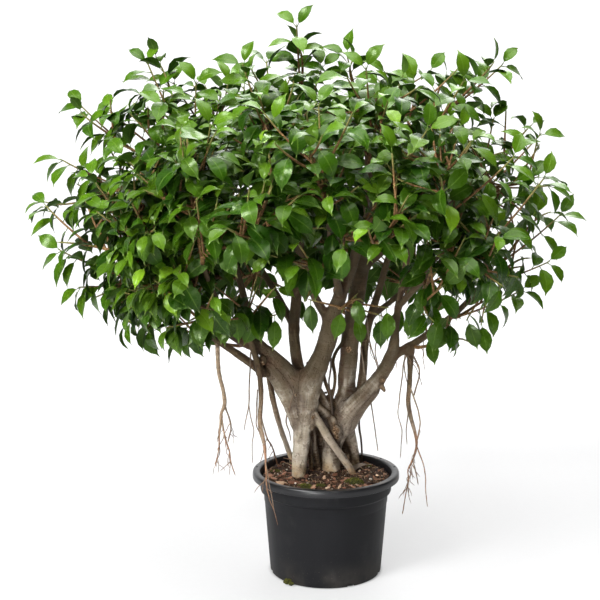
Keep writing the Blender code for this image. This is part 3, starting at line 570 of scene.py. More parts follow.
def run_edges(counts):
    """The edges along runs of so many points, one run after another."""
    edges = []
    start = 0
    for count in counts:
        edges += [(k, k + 1) for k in range(start, start + count - 1)]
        start += count
    return edges


def gathered(pieces):
    """Several lists of points and faces as one."""
    points = []
    faces = []
    for more_points, more_faces in pieces:
        start = len(points)
        points.extend(more_points)
        faces.extend(tuple(i + start for i in face) for face in more_faces)
    return points, faces


def unit(vector):
    vector = np.asarray(vector, float)
    return vector / max(np.linalg.norm(vector), 1e-9)


def knots(table):
    """A limb's points in metres and its radii."""
    rows = np.array(table, float) * MM
    return rows[:, :3], rows[:, 3]


def side_of(direction):
    """A unit vector square to the direction."""
    helper = UP if abs(direction[2]) < 0.9 else np.array((1.0, 0.0, 0.0))
    return unit(np.cross(direction, helper))


def between(first, second, angle):
    """A way turned by an angle from one vector towards another."""
    return first * math.cos(angle) + second * math.sin(angle)


def ring_way(direction, angle):
    """A unit vector square to the direction, turned about it by an angle."""
    across = side_of(direction)
    return between(across, np.cross(direction, across), angle)


def square_to(vector, direction):
    """The unit vector nearest to a vector that is square to a direction."""
    return unit(vector - direction * np.dot(vector, direction))


def clamp(value, low=0.0, high=1.0):
    return min(max(value, low), high)


def run_of(line):
    """The length of a line along its points."""
    return float(np.linalg.norm(np.diff(line, axis=0), axis=1).sum())


def along(line, share):
    """The point at this share of a line's samples, and its direction there."""
    place = clamp(share) * (len(line) - 1)
    step = min(int(place), len(line) - 2)
    point = line[step] + (line[step + 1] - line[step]) * (place - step)
    return point, unit(line[step + 1] - line[step])


def bend_path(start, aim, end, final):
    """A smooth line that leaves the start along one vector and reaches the end along another."""
    t = np.linspace(0.0, 1.0, PLAN_STEPS)[:, None]
    return ((2 * t**3 - 3 * t**2 + 1) * start + (t**3 - 2 * t**2 + t) * aim
            + (3 * t**2 - 2 * t**3) * end + (t**3 - t**2) * final)


def bowed(line, bow):
    """A line pushed sideways between its ends, most beyond its middle."""
    t = np.linspace(0.0, 1.0, len(line))[:, None]
    return line + bow * 4.0 * t * t * np.sqrt(1.0 - t)


def limb_crowd():
    """Balls along every limb and root: points and radii."""
    rows = []
    for table in list(LIMBS.values()) + list(ROOTS.values()):
        points, radii = knots(table)
        for a, b, ra, rb in zip(points[:-1], points[1:], radii[:-1], radii[1:]):
            steps = max(2, int(np.linalg.norm(b - a) / 0.006))
            for t in np.linspace(0.0, 1.0, steps):
                rows.append([*(a + (b - a) * t), ra + (rb - ra) * t])
    return np.array(rows)


def room(line, radius, crowd):
    """The smallest gap between a line of this radius and the crowd."""
    gaps = np.linalg.norm(line[:, None, :] - crowd[None, :, :3], axis=2) - crowd[None, :, 3]
    return float(gaps.min()) - radius


def bud_places():
    """Where leafy branches can start: the ends of the limbs, then places along them."""
    ends = []
    sides = []
    for table in LIMBS.values():
        points, radii = knots(table)
        ends.append((points[-1], unit(points[-1] - points[-2]), 0.0))
        for a, b, ra, rb in zip(points[1:-1], points[2:], radii[1:-1], radii[2:]):
            for t in (0.2, 0.6):
                point = a + (b - a) * t
                if point[2] > LOWEST_BUD:
                    sides.append((point, unit(b - a), ra + (rb - ra) * t))
    return ends, sides


def bud_cost(place, tip, turn_weight):
    reach = tip - place[0]
    distance = float(np.linalg.norm(reach))
    turn = 1.0 - float(np.dot(place[1], unit(reach)))
    short = max(0.0, SHORTEST_STEM - distance) * 3.0
    return distance + turn_weight * turn + short


def choose_buds():
    """A starting place for each tip: limb ends first, then the cheapest free place along a limb."""
    tips = np.array(BRANCH_TIPS, float) * MM
    ends, sides = bud_places()
    chosen = {}
    for end in ends:
        free = [i for i in range(len(tips)) if i not in chosen]
        best = min(free, key=lambda i: bud_cost(end, tips[i], END_TURN_WEIGHT))
        chosen[best] = end
    for i, tip in enumerate(tips):
        if i in chosen:
            continue
        taken = np.array([place[0] for place in chosen.values()])
        free = [s for s in sides if np.linalg.norm(taken - s[0], axis=1).min() > BUD_SPACING]
        chosen[i] = min(free, key=lambda s: bud_cost(s, tip, SIDE_TURN_WEIGHT))
    return [(chosen[i], tips[i]) for i in range(len(tips))]


def stem_line(bud, tip, crowd):
    """The line of a branch's stem, bowed as little as keeps it clear of its neighbours."""
    start, growth, radius = bud
    reach = tip - start
    length = float(np.linalg.norm(reach))
    outward = unit(tip - np.array(CROWN_CENTRE))
    lift = clamp((tip[2] - 0.62) / 0.30, -0.7, 1.3)
    final = unit(unit((outward[0], outward[1], 0.0)) * 0.8 + UP * lift)
    aim = growth
    if radius > 0.0:
        square = square_to(reach, growth)
        start = start + square * radius
        aim = unit(square + 0.6 * growth)
    best = None
    for attempt in range(STEM_TRIALS):
        bow = ring_way(unit(reach), GOLDEN_ANGLE * attempt) * STEM_BOW * math.sqrt(attempt)
        trial = bowed(bend_path(start, aim * length * 0.9, tip, final * length * 0.8), bow)
        far = trial[np.linalg.norm(trial - start, axis=1) > STEM_ROOT_REACH]
        gap = room(far, STEM_RADII[0], crowd)
        if best is None or gap > best[0]:
            best = (gap, trial)
        if gap > STEM_ROOM:
            return trial
    return best[1]


def shoot_line(root, direction, length, lift):
    v = np.linspace(0.0, 1.0, PLAN_STEPS)[:, None]
    return root + direction * length * v + UP * lift * length * v * v


def shoot_lift(root):
    """How far a side shoot curves up, or down where it grows low."""
    return clamp((root[2] - 0.55) / 0.30, -0.5, 1.0) * 0.30


def balls(line, radius):
    return np.column_stack([line, np.full(len(line), radius)])


def side_shoots(stem, draw, crowd):
    """The lines of a stem's side shoots; None where there is no room for one."""
    found = []
    turn = draw.uniform(0.0, 2.0 * math.pi)
    for number, share in enumerate(SHOOT_SHARES):
        root, along_stem = along(stem, share)
        length = SHOOT_LENGTH * (1.25 - 0.75 * share) + draw.uniform(-0.012, 0.012)
        found.append(None)
        for attempt in range(SHOOT_TRIALS):
            square = ring_way(along_stem, turn + GOLDEN_ANGLE * number + SHOOT_TURN * attempt)
            direction = between(along_stem, square, SHOOT_SPREAD)
            shoot = (root, direction, length, shoot_lift(root))
            trial = shoot_line(*shoot)
            reach = np.linalg.norm((trial[-1] - np.array(CROWN_CENTRE)) / np.array(CROWN_RADII))
            if reach > 1.0 or trial[-1][2] < LOWEST_SHOOT:
                continue
            if room(trial[3:], SHOOT_RADII[1], crowd) > SHOOT_ROOM:
                found[-1] = shoot
                crowd = np.vstack([crowd, balls(trial[3:], SHOOT_RADII[1])])
                break
    return found


def leaf_rows(line, first_share, draw, turn):
    """Leaves from the tip of a line inwards, each turned by the golden angle from the last."""
    length = run_of(line)
    rows = []
    for number in range(int((1.0 - first_share) * length / LEAF_SPACING) + 1):
        point, growth = along(line, 1.0 - number * LEAF_SPACING / length)
        square = ring_way(growth, turn + GOLDEN_ANGLE * number)
        spread = math.radians(18 if number == 0 else 56) + draw.uniform(-0.15, 0.15)
        hang = clamp(1.15 - (point[2] - 0.42) / 0.45, 0.22, 1.15) * draw.uniform(0.75, 1.25)
        forward = unit(between(growth, square, spread) - UP * hang)
        outward = unit((point[0], point[1], 0.0))
        up = unit(UP * 0.75 + outward * 0.55 + 0.25 * draw.normal(size=3))
        normal = up - forward * np.dot(up, forward)
        if np.linalg.norm(normal) < 0.2:
            normal = outward - forward * np.dot(outward, forward)
        size = (0.72, 0.86, 0.95)[number] if number < 3 else 1.0
        rows.append({
            "point": point, "forward": forward, "normal": unit(normal),
            "length": LEAF_LENGTH * size * draw.uniform(0.90, 1.10),
            "arch": LEAF_ARCH * draw.uniform(0.6, 1.5), "fold": LEAF_FOLD * draw.uniform(0.5, 1.5)})
    return rows


def plan_crown():
    """Every leafy branch: its bud, its stem, its side shoots and their leaves."""
    limbs = limb_crowd()
    crowd = limbs
    plans = []
    for number, (bud, tip) in enumerate(choose_buds()):
        stem = stem_line(bud, tip, crowd)
        crowd = np.vstack([crowd, balls(stem[2:], STEM_RADII[0])])
        plans.append({"bud": bud, "stem": stem, "draw": np.random.default_rng(SEED + number)})
    grown = []
    for plan in plans:
        draw = plan["draw"]
        others = [balls(other["stem"], STEM_RADII[0]) for other in plans if other is not plan]
        plan["shoots"] = side_shoots(plan["stem"], draw, np.vstack([limbs] + others + grown))
        turn = draw.uniform(0.0, 2.0 * math.pi)
        plan["stem_leaves"] = leaf_rows(plan["stem"], STEM_BARE_SHARE, draw, turn)
        plan["shoot_leaves"] = []
        for shoot in plan["shoots"]:
            turn = draw.uniform(0.0, 2.0 * math.pi)
            leaves = []
            if shoot:
                line = shoot_line(*shoot)
                grown.append(balls(line, SHOOT_RADII[1]))
                leaves = leaf_rows(line, SHOOT_BARE_SHARE, draw, turn)
            plan["shoot_leaves"].append(leaves)
    return plans


def blade_pattern():
    """One flat leaf as a pattern: its points carry where they belong on a bent leaf."""
    places = []
    forms = []
    stalks = []

    def point(u, column, side=0.5, share=0.0, rise=0.0, stalk=(1.0, 0.0)):
        places.append((u, column, side))
        forms.append((max(u, 0.0), share, rise))
        stalks.append((*stalk, 0.0))
        return len(places) - 1

    base = point(0.0, 0.0)
    tip = point(1.0, 0.0)
    rims = [[point(u, edge, 0.0, edge * width) for edge in (-1.0, 1.0)] for u, width in BLADE_ROWS]
    faces = []
    for side in (1.0, -1.0):
        sheet = []
        for (u, width), (left, right) in zip(BLADE_ROWS, rims):
            inner = [point(u, c, side, c * width, side * BLADE_THICK[abs(c)]) for c in BLADE_COLUMNS]
            sheet.append([left, *inner, right])
        found = [(base, b, a) for a, b in zip(sheet[0][:-1], sheet[0][1:])]
        found += [(tip, a, b) for a, b in zip(sheet[-1][:-1], sheet[-1][1:])]
        for low, high in zip(sheet[:-1], sheet[1:]):
            found += [(low[k], low[k + 1], high[k + 1], high[k]) for k in range(len(low) - 1)]
        faces += found if side > 0.0 else [face[::-1] for face in found]
    faces += tube_faces(len(places), len(STALK_RINGS), STALK_SIDES)
    for along_stalk, u, radius in STALK_RINGS:
        for k in range(STALK_SIDES):
            angle = 2.0 * math.pi * k / STALK_SIDES + math.pi / 2
            point(-1.0, 0.0, 1.0, 0.0, radius * math.sin(angle), (along_stalk, radius * math.cos(angle)))
            forms[-1] = (u, 0.0, forms[-1][2])
    mesh = plain_mesh("blade pattern", forms, faces)
    paint(mesh, "blade_place", places)
    paint(mesh, "blade_form", forms)
    paint(mesh, "blade_stalk", stalks)
    rim_points = {base, tip}.union(*rims)
    crisp = mesh.attributes.new("sharp_edge", "BOOLEAN", "EDGE")
    for edge in mesh.edges:
        crisp.data[edge.index].value = rim_points.issuperset(edge.vertices)
    return mesh


def spray_tree():
    """Grows one leafy spray: twigs along the edges, a bent leaf on each loose point."""
    g = Growth("leafy spray", leaf_pattern="Object", leaf_finish="Material", twig_finish="Material",
               stalk_length=PETIOLE_LENGTH, leaf_half_width=LEAF_HALF_WIDTH, twig_step=TWIG_STEP,
               twig_sides=TWIG_SIDES, edge_wave=0.0011, knuckle_size=TWIG_KNUCKLES, seed=SEED)
    leafy = g.named("is_leaf", "BOOLEAN")
    split = g.node("GeometryNodeSeparateGeometry", {"Geometry": g.given(), "Selection": leafy})
    points = Wire(g, split.outputs[0])
    edges = Wire(g, split.outputs[1])
    pattern = g.geo("ObjectInfo", 4, Object=g.given("leaf_pattern"))
    leaves = g.geo("InstanceOnPoints", Points=points, Instance=pattern)
    leaves = g.geo("RealizeInstances", Geometry=leaves)
    leaves = g.geo("SetPosition", Geometry=leaves, Position=bent_leaf(g))
    thick = g.noise(g.geo("InputPosition"), 210.0, 1.0).span(0.30, 0.75, 1.0, 2.0) * g.given("knuckle_size")
    thick = g.named("girth") * (thick + (1.0 - TWIG_KNUCKLES))
    twigs = g.tubes(g.store(edges, "girth", thick), g.given("twig_step"), g.given("twig_sides"))
    shape = g.geo("SetShadeSmooth", Geometry=g.joined(leaves, twigs))
    bare = g.wire("FunctionNodeBooleanMath", {0: leafy}, operation="NOT")
    return g.end(shape, ("leaf_finish", leafy), ("twig_finish", bare))


def bent_leaf(g):
    """Where a pattern's point comes to lie on its own folded, arched and twisted leaf."""
    u, across, rise = g.painted("blade_form").parts()
    column = g.painted("blade_place").parts()[1]
    stalk, stalk_across, _ = g.painted("blade_stalk").parts()
    forward = g.painted("leaf_forward")
    normal = g.painted("leaf_normal")
    length, arch, fold = g.painted("leaf_bend").parts()
    twist, tone, sway = g.painted("leaf_turn").parts()
    turn = arch * u
    radius = length / arch
    ahead = g.given("stalk_length") * stalk + radius * turn.work("SINE")
    drop = radius * (turn.work("COSINE") * -1.0 + 1.0)
    base = g.painted("leaf_root") + forward * ahead - normal * drop
    out = normal * turn.work("COSINE") + forward * turn.work("SINE")
    side = forward.work("CROSS_PRODUCT", normal)
    spin = twist * u
    level = side * spin.work("COSINE") + out * spin.work("SINE")
    upward = out * spin.work("COSINE") - side * spin.work("SINE")
    half = length * g.given("leaf_half_width")
    sideways = across * half
    width = across.work("ABSOLUTE") * half
    cupped = column.work("ABSOLUTE") * -0.42 + 1.0
    wave = (u * 9.0 + tone * 40.0 + column * 1.7).work("SINE") * column * column * g.given("edge_wave")
    lifted = width * fold.work("SINE") * cupped + rise + wave * u
    swayed = u * u * sway * length
    return base + level * (sideways * fold.work("COSINE") + stalk_across + swayed) + upward * lifted


def crown_reach(points):
    """How far out points are in the crown: 1 at its surface."""
    offset = np.asarray(points, float) - CROWN_MIDDLE
    outline = np.array(CROWN_OUTLINE, float) * MM - (CROWN_MIDDLE[0], CROWN_MIDDLE[2])
    limit = np.interp(np.arctan2(offset[..., 2], offset[..., 0]),
                      *zip(*sorted(zip(np.arctan2(outline[:, 1], outline[:, 0]),
                                       np.hypot(outline[:, 0], outline[:, 1])))), period=2.0 * math.pi)
    flat = np.hypot(offset[..., 0], offset[..., 2]) / limit
    deep = np.abs(offset[..., 1]) / CROWN_DEPTH
    return (flat**CROWN_ROUNDING + deep**CROWN_ROUNDING) ** (1.0 / CROWN_ROUNDING)


def leaf_tip(leaf, share=1.0):
    """The tip of a leaf, or the point at a share of its rib."""
    turn = leaf["arch"] * share
    radius = leaf["length"] / leaf["arch"]
    base = leaf["point"] + leaf["forward"] * (PETIOLE_LENGTH + radius * math.sin(turn))
    return base - leaf["normal"] * radius * (1.0 - math.cos(turn))


def under_hem(point):
    """Whether a point hangs below the crown's lower edge."""
    return point[2] < HEM_TOP and crown_reach(point) > HEM_LIMIT


def in_hollow(leaf):
    """Whether a leaf is one of those missing from the hollow in front of the boughs."""
    tip = leaf_tip(leaf)
    if tip[1] < -0.03 and math.hypot((tip[0] - 0.03) / 0.085, (tip[2] - 0.485) / 0.08) < 1.0:
        return True
    away = math.hypot((tip[0] + 0.02) / 0.27, (tip[1] + 0.25) / 0.52)
    missing = math.modf(leaf["length"] * 1e4)[0] < 0.85 - 0.8 * abs(tip[0] - 0.05)
    return missing and tip[2] < 0.635 - 0.12 * away**2


def draped(leaf):
    """The leaf as it lies: high up it spreads and arches, at the very top it stands, low down it hangs."""
    high = clamp((leaf["point"][2] - 0.58) / 0.34)
    crest = clamp((leaf["point"][2] - 0.90) / 0.07)
    forward = unit(leaf["forward"] + UP * (0.50 * high + 0.55 * crest))
    normal = leaf["normal"] + UP * (0.70 * high)
    normal = square_to(normal, forward)
    return dict(leaf, forward=forward, normal=normal, fold=leaf["fold"] * FOLD_GAIN,
                arch=leaf["arch"] * (ARCH_GAIN + TOP_ARCH_GAIN * high * (1.0 - 0.8 * crest)))


def inside(leaf, limit):
    return not under_hem(leaf_tip(leaf)) and not in_hollow(leaf) and crown_reach(leaf_tip(leaf)) < limit


def cut_back(shoot, rows, limit):
    """A side shoot cut back to its outermost leaf that stays inside the crown, with its draped leaves."""
    kept = [(number, leaf) for number, leaf in enumerate(map(draped, rows)) if inside(leaf, limit)]
    if len(kept) < FEWEST_LEAVES:
        return None, []
    root, direction, length, lift = shoot
    share = 1.0 - kept[0][0] * LEAF_SPACING / run_of(shoot_line(*shoot))
    return (root, direction, length * share, lift * share), [leaf for _, leaf in kept]


def trim_crown(plans):
    """Drapes the planned leaves and cuts back what would stand out of the crown's edge."""
    for plan in plans:
        plan["stem_leaves"] = [leaf for leaf in map(draped, plan["stem_leaves"]) if inside(leaf, math.inf)]
        for number, shoot in enumerate(plan["shoots"]):
            if shoot:
                trimmed = cut_back(shoot, plan["shoot_leaves"][number], SHOOT_LIMIT)
                plan["shoots"][number], plan["shoot_leaves"][number] = trimmed


def grow_shoots(plans, tips, length, lift, lean_of, leaves_of, draw):
    """Shoots that end at given places, each from the stem that suits its length and lean best."""
    for tip in np.array(tips, float) * MM:
        best = None
        lean = lean_of(tip)
        for plan in plans:
            for share in (0.15, 0.30, 0.45, 0.6, 0.75, 0.9):
                root, _ = along(plan["stem"], share)
                rise = tip - root
                reach = np.linalg.norm(rise)
                cost = abs(reach - length) + 0.25 * (1.0 - np.dot(rise, lean) / reach)
                if best is None or cost < best[0]:
                    best = (cost, plan, root, rise / reach, reach)
        _, plan, root, direction, reach = best
        shoot = (root, unit(direction - UP * lift), reach / (1.0 + 0.5 * lift), lift)
        plan["fill"].append((shoot, leaves_of(shoot_line(*shoot), draw)))


def grow_leaders(plans):
    """Shoots that stand out of the crown, and the short ones with hanging leaves at its lower edge."""
    draw = np.random.default_rng(SEED * 5)

    def leader_lean(tip):
        return unit((tip - CROWN_MIDDLE) * (1.0, 0.8, 1.0) + (0.0, 0.0, 0.16))

    grow_shoots(plans, LEADERS, LEADER_LENGTH, 0.12, leader_lean, leader_leaves, draw)
    grow_shoots(plans, HEM_SHOOTS, HEM_LENGTH, 0.0, lambda tip: np.array((0.0, -0.3, -0.5)), hem_leaves, draw)


def hem_leaves(line, draw):
    """The one leaf that hangs from the end of a short shoot."""
    forward = unit((draw.normal(0.0, 0.25), -0.25 + draw.normal(0.0, 0.1), -1.0))
    normal = np.array((draw.normal(0.0, 0.35), -1.0, 0.15))
    normal = square_to(normal, forward)
    return [{"point": line[-1], "forward": forward, "normal": normal,
             "length": LEAF_LENGTH * draw.uniform(0.86, 1.02), "arch": LEAF_ARCH * draw.uniform(0.6, 1.2),
             "fold": LEAF_FOLD * draw.uniform(0.8, 1.4),
             "look": (draw.uniform(0.15, 0.85), draw.uniform(0.0, 0.22), draw.uniform())}]


def leader_leaves(line, draw):
    """Leaves of a shoot that stands out: a pair at its tip, the others mostly in two rows down its sides."""
    facing = np.array((0.0, -1.0 if line[-1][1] < 0.1 else 1.0, 0.0))
    length = run_of(line)
    rows = []
    for number in range(int(0.88 * length / LEADER_SPACING) + 1):
        point, growth = along(line, 1.0 - max(0, number - 1) * LEADER_SPACING / length)
        across = unit(np.cross(growth, facing))
        angle = math.pi * number + draw.normal(0.0, 0.40) + (math.pi / 2 if number % 5 == 2 else 0.0)
        square = between(across, np.cross(across, growth), angle)
        spread = math.radians(30 if number < 2 else 60) + draw.uniform(-0.2, 0.2)
        sag = UP * (0.95 * (1.0 - growth[2]))
        forward = unit(between(growth, square, spread) - sag)
        normal = growth * 0.55 + facing * draw.uniform(0.25, 1.0) + UP * 0.55
        normal = square_to(normal, forward)
        rows.append({
            "point": point, "forward": forward, "normal": normal,
            "length": LEAF_LENGTH * (0.84 if number < 2 else 1.0) * draw.uniform(0.88, 1.08),
            "arch": LEAF_ARCH * draw.uniform(1.2, 2.2), "fold": LEAF_FOLD * draw.uniform(0.9, 1.9),
            # A high tone: these outer leaves get a lighter green painted in for the light they catch
            "look": (draw.uniform(0.50, 0.95), draw.uniform(0.05, 0.40), draw.uniform())})
    return rows


def fill_candidate(plans, draw):
    """One possible side shoot, from a stem or from another side shoot."""
    number = int(draw.integers(len(plans)))
    plan = plans[number]
    grown = [s for s in plan["shoots"] if s]
    if grown and draw.uniform() < 0.45:
        line = shoot_line(*grown[int(draw.integers(len(grown)))])
        share = draw.uniform(0.25, 0.80)
    else:
        line = plan["stem"]
        share = draw.uniform(0.10, 0.97)
    root, growth = along(line, share)
    square = ring_way(growth, draw.uniform(0.0, 2.0 * math.pi))
    spread = draw.uniform(0.60, 1.20)
    direction = between(growth, square, spread)
    return number, (root, direction, draw.uniform(*FILL_LENGTHS), shoot_lift(root))


def fill_crown(plans):
    """Side shoots beyond the plan's own, each grown where the crown is emptiest."""
    draw = np.random.default_rng(SEED * 100)
    found = [fill_candidate(plans, draw) for _ in range(FILL_CANDIDATES)]
    lines = np.array([shoot_line(*shoot) for _, shoot in found])
    fine = crown_reach(lines[:, -1]) < FILL_REACH
    found = [f for f, good in zip(found, fine) if good]
    lines = lines[fine]
    probes = lines[:, (6, 9, 12)].reshape(-1, 3)
    leaves = [leaf for plan in plans
              for rows in [plan["stem_leaves"]] + plan["shoot_leaves"] + [rows for _, rows in plan["fill"]]
              for leaf in rows]
    taken = np.array([leaf_tip(leaf, 0.5) for leaf in leaves])
    gaps = np.full(len(probes), np.inf)
    for start in range(0, len(taken), AT_ONCE):
        part = taken[start:start + AT_ONCE]
        gaps = np.minimum(gaps, np.linalg.norm(probes[:, None] - part[None], axis=2).min(axis=1))
    limbs = limb_crowd()
    weight = 0.75 + 0.25 * crown_reach(lines[:, -1])
    spent = np.zeros(len(found), bool)
    grown = 0
    while grown < FILL_SHOOTS and not spent.all():
        score = gaps.reshape(-1, 3).mean(axis=1) * weight
        score[spent] = -1.0
        best = int(score.argmax())
        spent[best] = True
        if room(lines[best][3:], FILL_RADIUS, limbs) < FILL_CLEARANCE:
            continue
        number, shoot = found[best]
        rows = leaf_rows(lines[best], SHOOT_BARE_SHARE, draw, draw.uniform(0.0, 2.0 * math.pi))
        shoot, rows = cut_back(shoot, rows, FILL_LIMIT)
        if not shoot:
            continue
        plans[number]["fill"].append((shoot, rows))
        middles = np.array([leaf_tip(leaf, 0.5) for leaf in rows])
        gaps = np.minimum(gaps, np.linalg.norm(probes[:, None] - middles[None], axis=2).min(axis=1))
        grown += 1


def twig_rows(line, radii):
    """A twig's points with girth and how woody they are, ending in a pointed bud."""
    t = np.linspace(0.0, 1.0, len(line))
    girth = radii[0] + (radii[1] - radii[0]) * t
    wood = np.clip(1.25 - t * 1.15, 0.0, 1.0)
    end = unit(line[-1] - line[-2])
    bud = [line[-1] + end * BUD_POINT * s for s in (0.35, 1.0)]
    return np.vstack([line, bud]), np.append(girth, (radii[1] * 0.85, 0.00025)), np.append(wood, (0.0, 0.0))


def spray_mesh(name, plan):
    """The bare bones of a leafy spray: twig edges, and one loose point for each leaf."""
    place, growth, radius = plan["bud"]
    start = place if radius > 0.0 else place - growth * 0.012
    twigs = [twig_rows(np.vstack([start, plan["stem"][1:]]), STEM_GIRTH)]
    leaves = list(plan["stem_leaves"])
    shoots = [(s, rows) for s, rows in zip(plan["shoots"], plan["shoot_leaves"]) if s] + plan["fill"]
    for shoot, rows in shoots:
        twigs.append(twig_rows(shoot_line(*shoot), TWIG_GIRTH))
        leaves += rows
    points, girth, wood = (np.concatenate(values) for values in zip(*twigs))
    return leaf_points(name, leaves, points, run_edges(len(twig[0]) for twig in twigs), girth, wood)


def leaf_points(name, leaves, points=(), edges=(), girth=(), wood=()):
    """Twig edges with one loose point added for each leaf, carrying how that leaf lies and looks."""
    twig_count = len(points)
    points = list(points) + [leaf["point"] for leaf in leaves]
    mesh = plain_mesh(name, points, edges=edges)
    paint(mesh, "girth", list(girth) + [0.0] * len(leaves))
    paint(mesh, "twig_wood", list(wood) + [0.0] * len(leaves))
    leafy = mesh.attributes.new("is_leaf", "BOOLEAN", "POINT")
    leafy.data.foreach_set("value", [False] * twig_count + [True] * len(leaves))
    draw = np.random.default_rng(SEED * 7 + len(points))
    turns = [(draw.normal(0.0, 0.22), draw.uniform(), draw.normal(0.0, 0.05)) for _ in leaves]
    # The first part of each look is a tone that paints light and shade from where the leaf grows
    looks = [leaf.get("look") or (leaf_tone(leaf, draw), leaf_youth(leaf, draw), draw.uniform())
             for leaf in leaves]
    told = {layer: [leaf[key] for leaf in leaves] for layer, key in LEAF_LAYERS.items()}
    told["leaf_bend"] = [(leaf["length"], leaf["arch"], leaf["fold"]) for leaf in leaves]
    told["leaf_turn"] = turns
    told["blade_look"] = looks
    for layer, rows in told.items():
        paint(mesh, layer, [(0.0, 0.0, 0.0)] * twig_count + rows)
    return mesh


def leaf_tone(leaf, draw):
    """Painted light and shade, with some chance: a leaf's green is lighter the further up and out it grows.
    """
    spot = leaf_tip(leaf, 0.5)
    light = 0.5 * np.clip((spot[2] - 0.50) / 0.45, 0.0, 1.0)
    light += 0.5 * np.clip((crown_reach(spot) - 0.60) / 0.40, 0.0, 1.0)
    return clamp(0.55 * draw.uniform() + 0.62 * light - 0.12)


def leaf_youth(leaf, draw):
    """How young a leaf is: small leaves at the tips are, and a few others by chance."""
    small = max(0.0, 1.0 - leaf["length"] / LEAF_LENGTH) * 1.1
    lucky = 0.75 if draw.uniform() < 0.035 else 0.0
    return min(1.0, small + lucky * draw.uniform(0.5, 1.0))


def build_crown():
    """Fifty leafy sprays, each in the place of its branch."""
    plans = plan_crown()
    trim_crown(plans)
    for plan in plans:
        plan["fill"] = []
    grow_leaders(plans)
    fill_crown(plans)
    pattern = shown("leaf pattern", blade_pattern())
    tree = spray_tree()
    leaf = leaf_finish()
    twig = twig_finish()
    for number, plan in enumerate(plans):
        label = "%02d" % (number + 1)
        spray = tree.grow("leafy_spray_" + label, spray_mesh("spray " + label, plan),
                          keep=("blade_place", "blade_look", "twig_wood"),
                          leaf_pattern=pattern, leaf_finish=leaf, twig_finish=twig)
        fit(spray, "leafy_branch", "leafy_branch_" + label)
    discard(pattern)


def leaf_finish():
    """Glossy green leaf: a pale rib, fine side veins and a dull, paler underside."""
    f = Finish("glossy ficus leaf", 0.34)
    u, column, side = f.painted("blade_place").parts()
    tone, youth, wear = f.painted("blade_look").parts()
    here = f.here()
    across = column.work("ABSOLUTE")
    mottle = f.noise(here, 55.0, 3.0)
    vein_phase = ((u - across * 0.13) * 13.0).work("FRACT")
    vein = (vein_phase - 0.5).work("ABSOLUTE").span(0.0, 0.13, 1.0, 0.0)
    rib = across.span(0.03, 0.10, 1.0, 0.0)
    under = side.span(-0.35, -0.05, 1.0, 0.0)
    # Painted shade: the tone makes the green darker for leaves deep and low in the crown, lighter for outer
    # ones
    green = f.ramp(tone * 0.62 + mottle * 0.38, [
        (0.14, (0.005, 0.021, 0.001)), (0.44, (0.012, 0.046, 0.002)),
        (0.68, (0.031, 0.094, 0.003)), (0.90, (0.080, 0.186, 0.006))])
    pale = f.mix(rib * 0.6 + vein * 0.25, (0.055, 0.115, 0.018), (0.150, 0.240, 0.055))
    browned = wear.span(0.90, 1.0) * u.span(0.80, 1.0) * mottle.span(0.35, 0.6)
    green = f.coats(green, [
        (youth, (0.170, 0.320, 0.012)),
        (vein * across.span(0.75, 1.0, 0.20, 0.0), (0.060, 0.150, 0.012)),
        (rib * 0.34, (0.150, 0.270, 0.030)),
        (across.span(0.90, 1.0) * 0.22, (0.110, 0.210, 0.025)),
        (u.span(0.84, 0.97) * 0.6, (0.260, 0.340, 0.100)),
        (under * 0.85, pale),
        (u.span(-0.9, -0.1, 1.0, 0.0), (0.110, 0.180, 0.030)),
        (browned, (0.180, 0.090, 0.030))])
    f.set("Base Color", green)
    f.set("Roughness", f.noise(here, 130.0, 2.0).span(0.3, 0.7, 0.25, 0.36) + under * 0.30)
    f.set("Specular IOR Level", 0.30)
    f.set("Specular Tint", (0.72, 1.0, 0.38))
    f.set("Coat Weight", under.span(0.0, 1.0, 0.17, 0.01))
    f.set("Coat Roughness", 0.17)
    f.relief(vein * -0.6 + rib * -1.0 + f.noise(here, 420.0, 2.0) * 0.5, 0.00035, 0.55)
    glow = f.node("ShaderNodeBsdfTranslucent", {"Color": f.mix(0.5, green, (0.120, 0.270, 0.006))})
    blend = f.node("ShaderNodeMixShader", {0: 0.24})
    for start, end in ((f.shader, blend.inputs[1]), (glow, blend.inputs[2]),
                       (blend, f.tree.nodes["Material Output"].inputs[0])):
        f.tree.links.new(start.outputs[0], end)
    return f.material


def twig_finish():
    """Thin bark, orange-brown where it is woody and green towards the buds."""
    f = Finish("young ficus twig", 0.68)
    here = f.here()
    wood = f.painted("twig_wood", 2)
    grain = f.noise(here, 260.0, 3.0)
    bark = f.ramp(grain, [(0.30, (0.068, 0.032, 0.011)), (0.52, (0.160, 0.083, 0.028)),
                          (0.72, (0.300, 0.185, 0.075))])
    f.set("Specular IOR Level", 0.25)
    green = f.mix(grain, (0.085, 0.110, 0.018), (0.190, 0.165, 0.050))
    f.set("Base Color", f.mix(wood.span(0.10, 0.55), green, bark))
    f.relief(grain + f.noise(here, 900.0, 2.0) * 0.4, 0.0004, 0.7)
    return f.material


# Trunk skin
SKIN_VOXEL = 0.0027
SKIN_PASSES = 3
SKIN_LEAST = 0.0030
SKIN_SIDES = 10
THICK_ROOTLET = 1.7
ROOT_POINT = 0.004
ROOT_POINT_RADIUS = 0.00012

# How roots swell or thin down their length: heights in millimetres, shares of the girth
ROOT_SWELLS = {
    "left_hanging_root": ((130, 238), (0.45, 1.0)),
    "far_left_root": ((250, 330), (1.0, 1.35)),
}

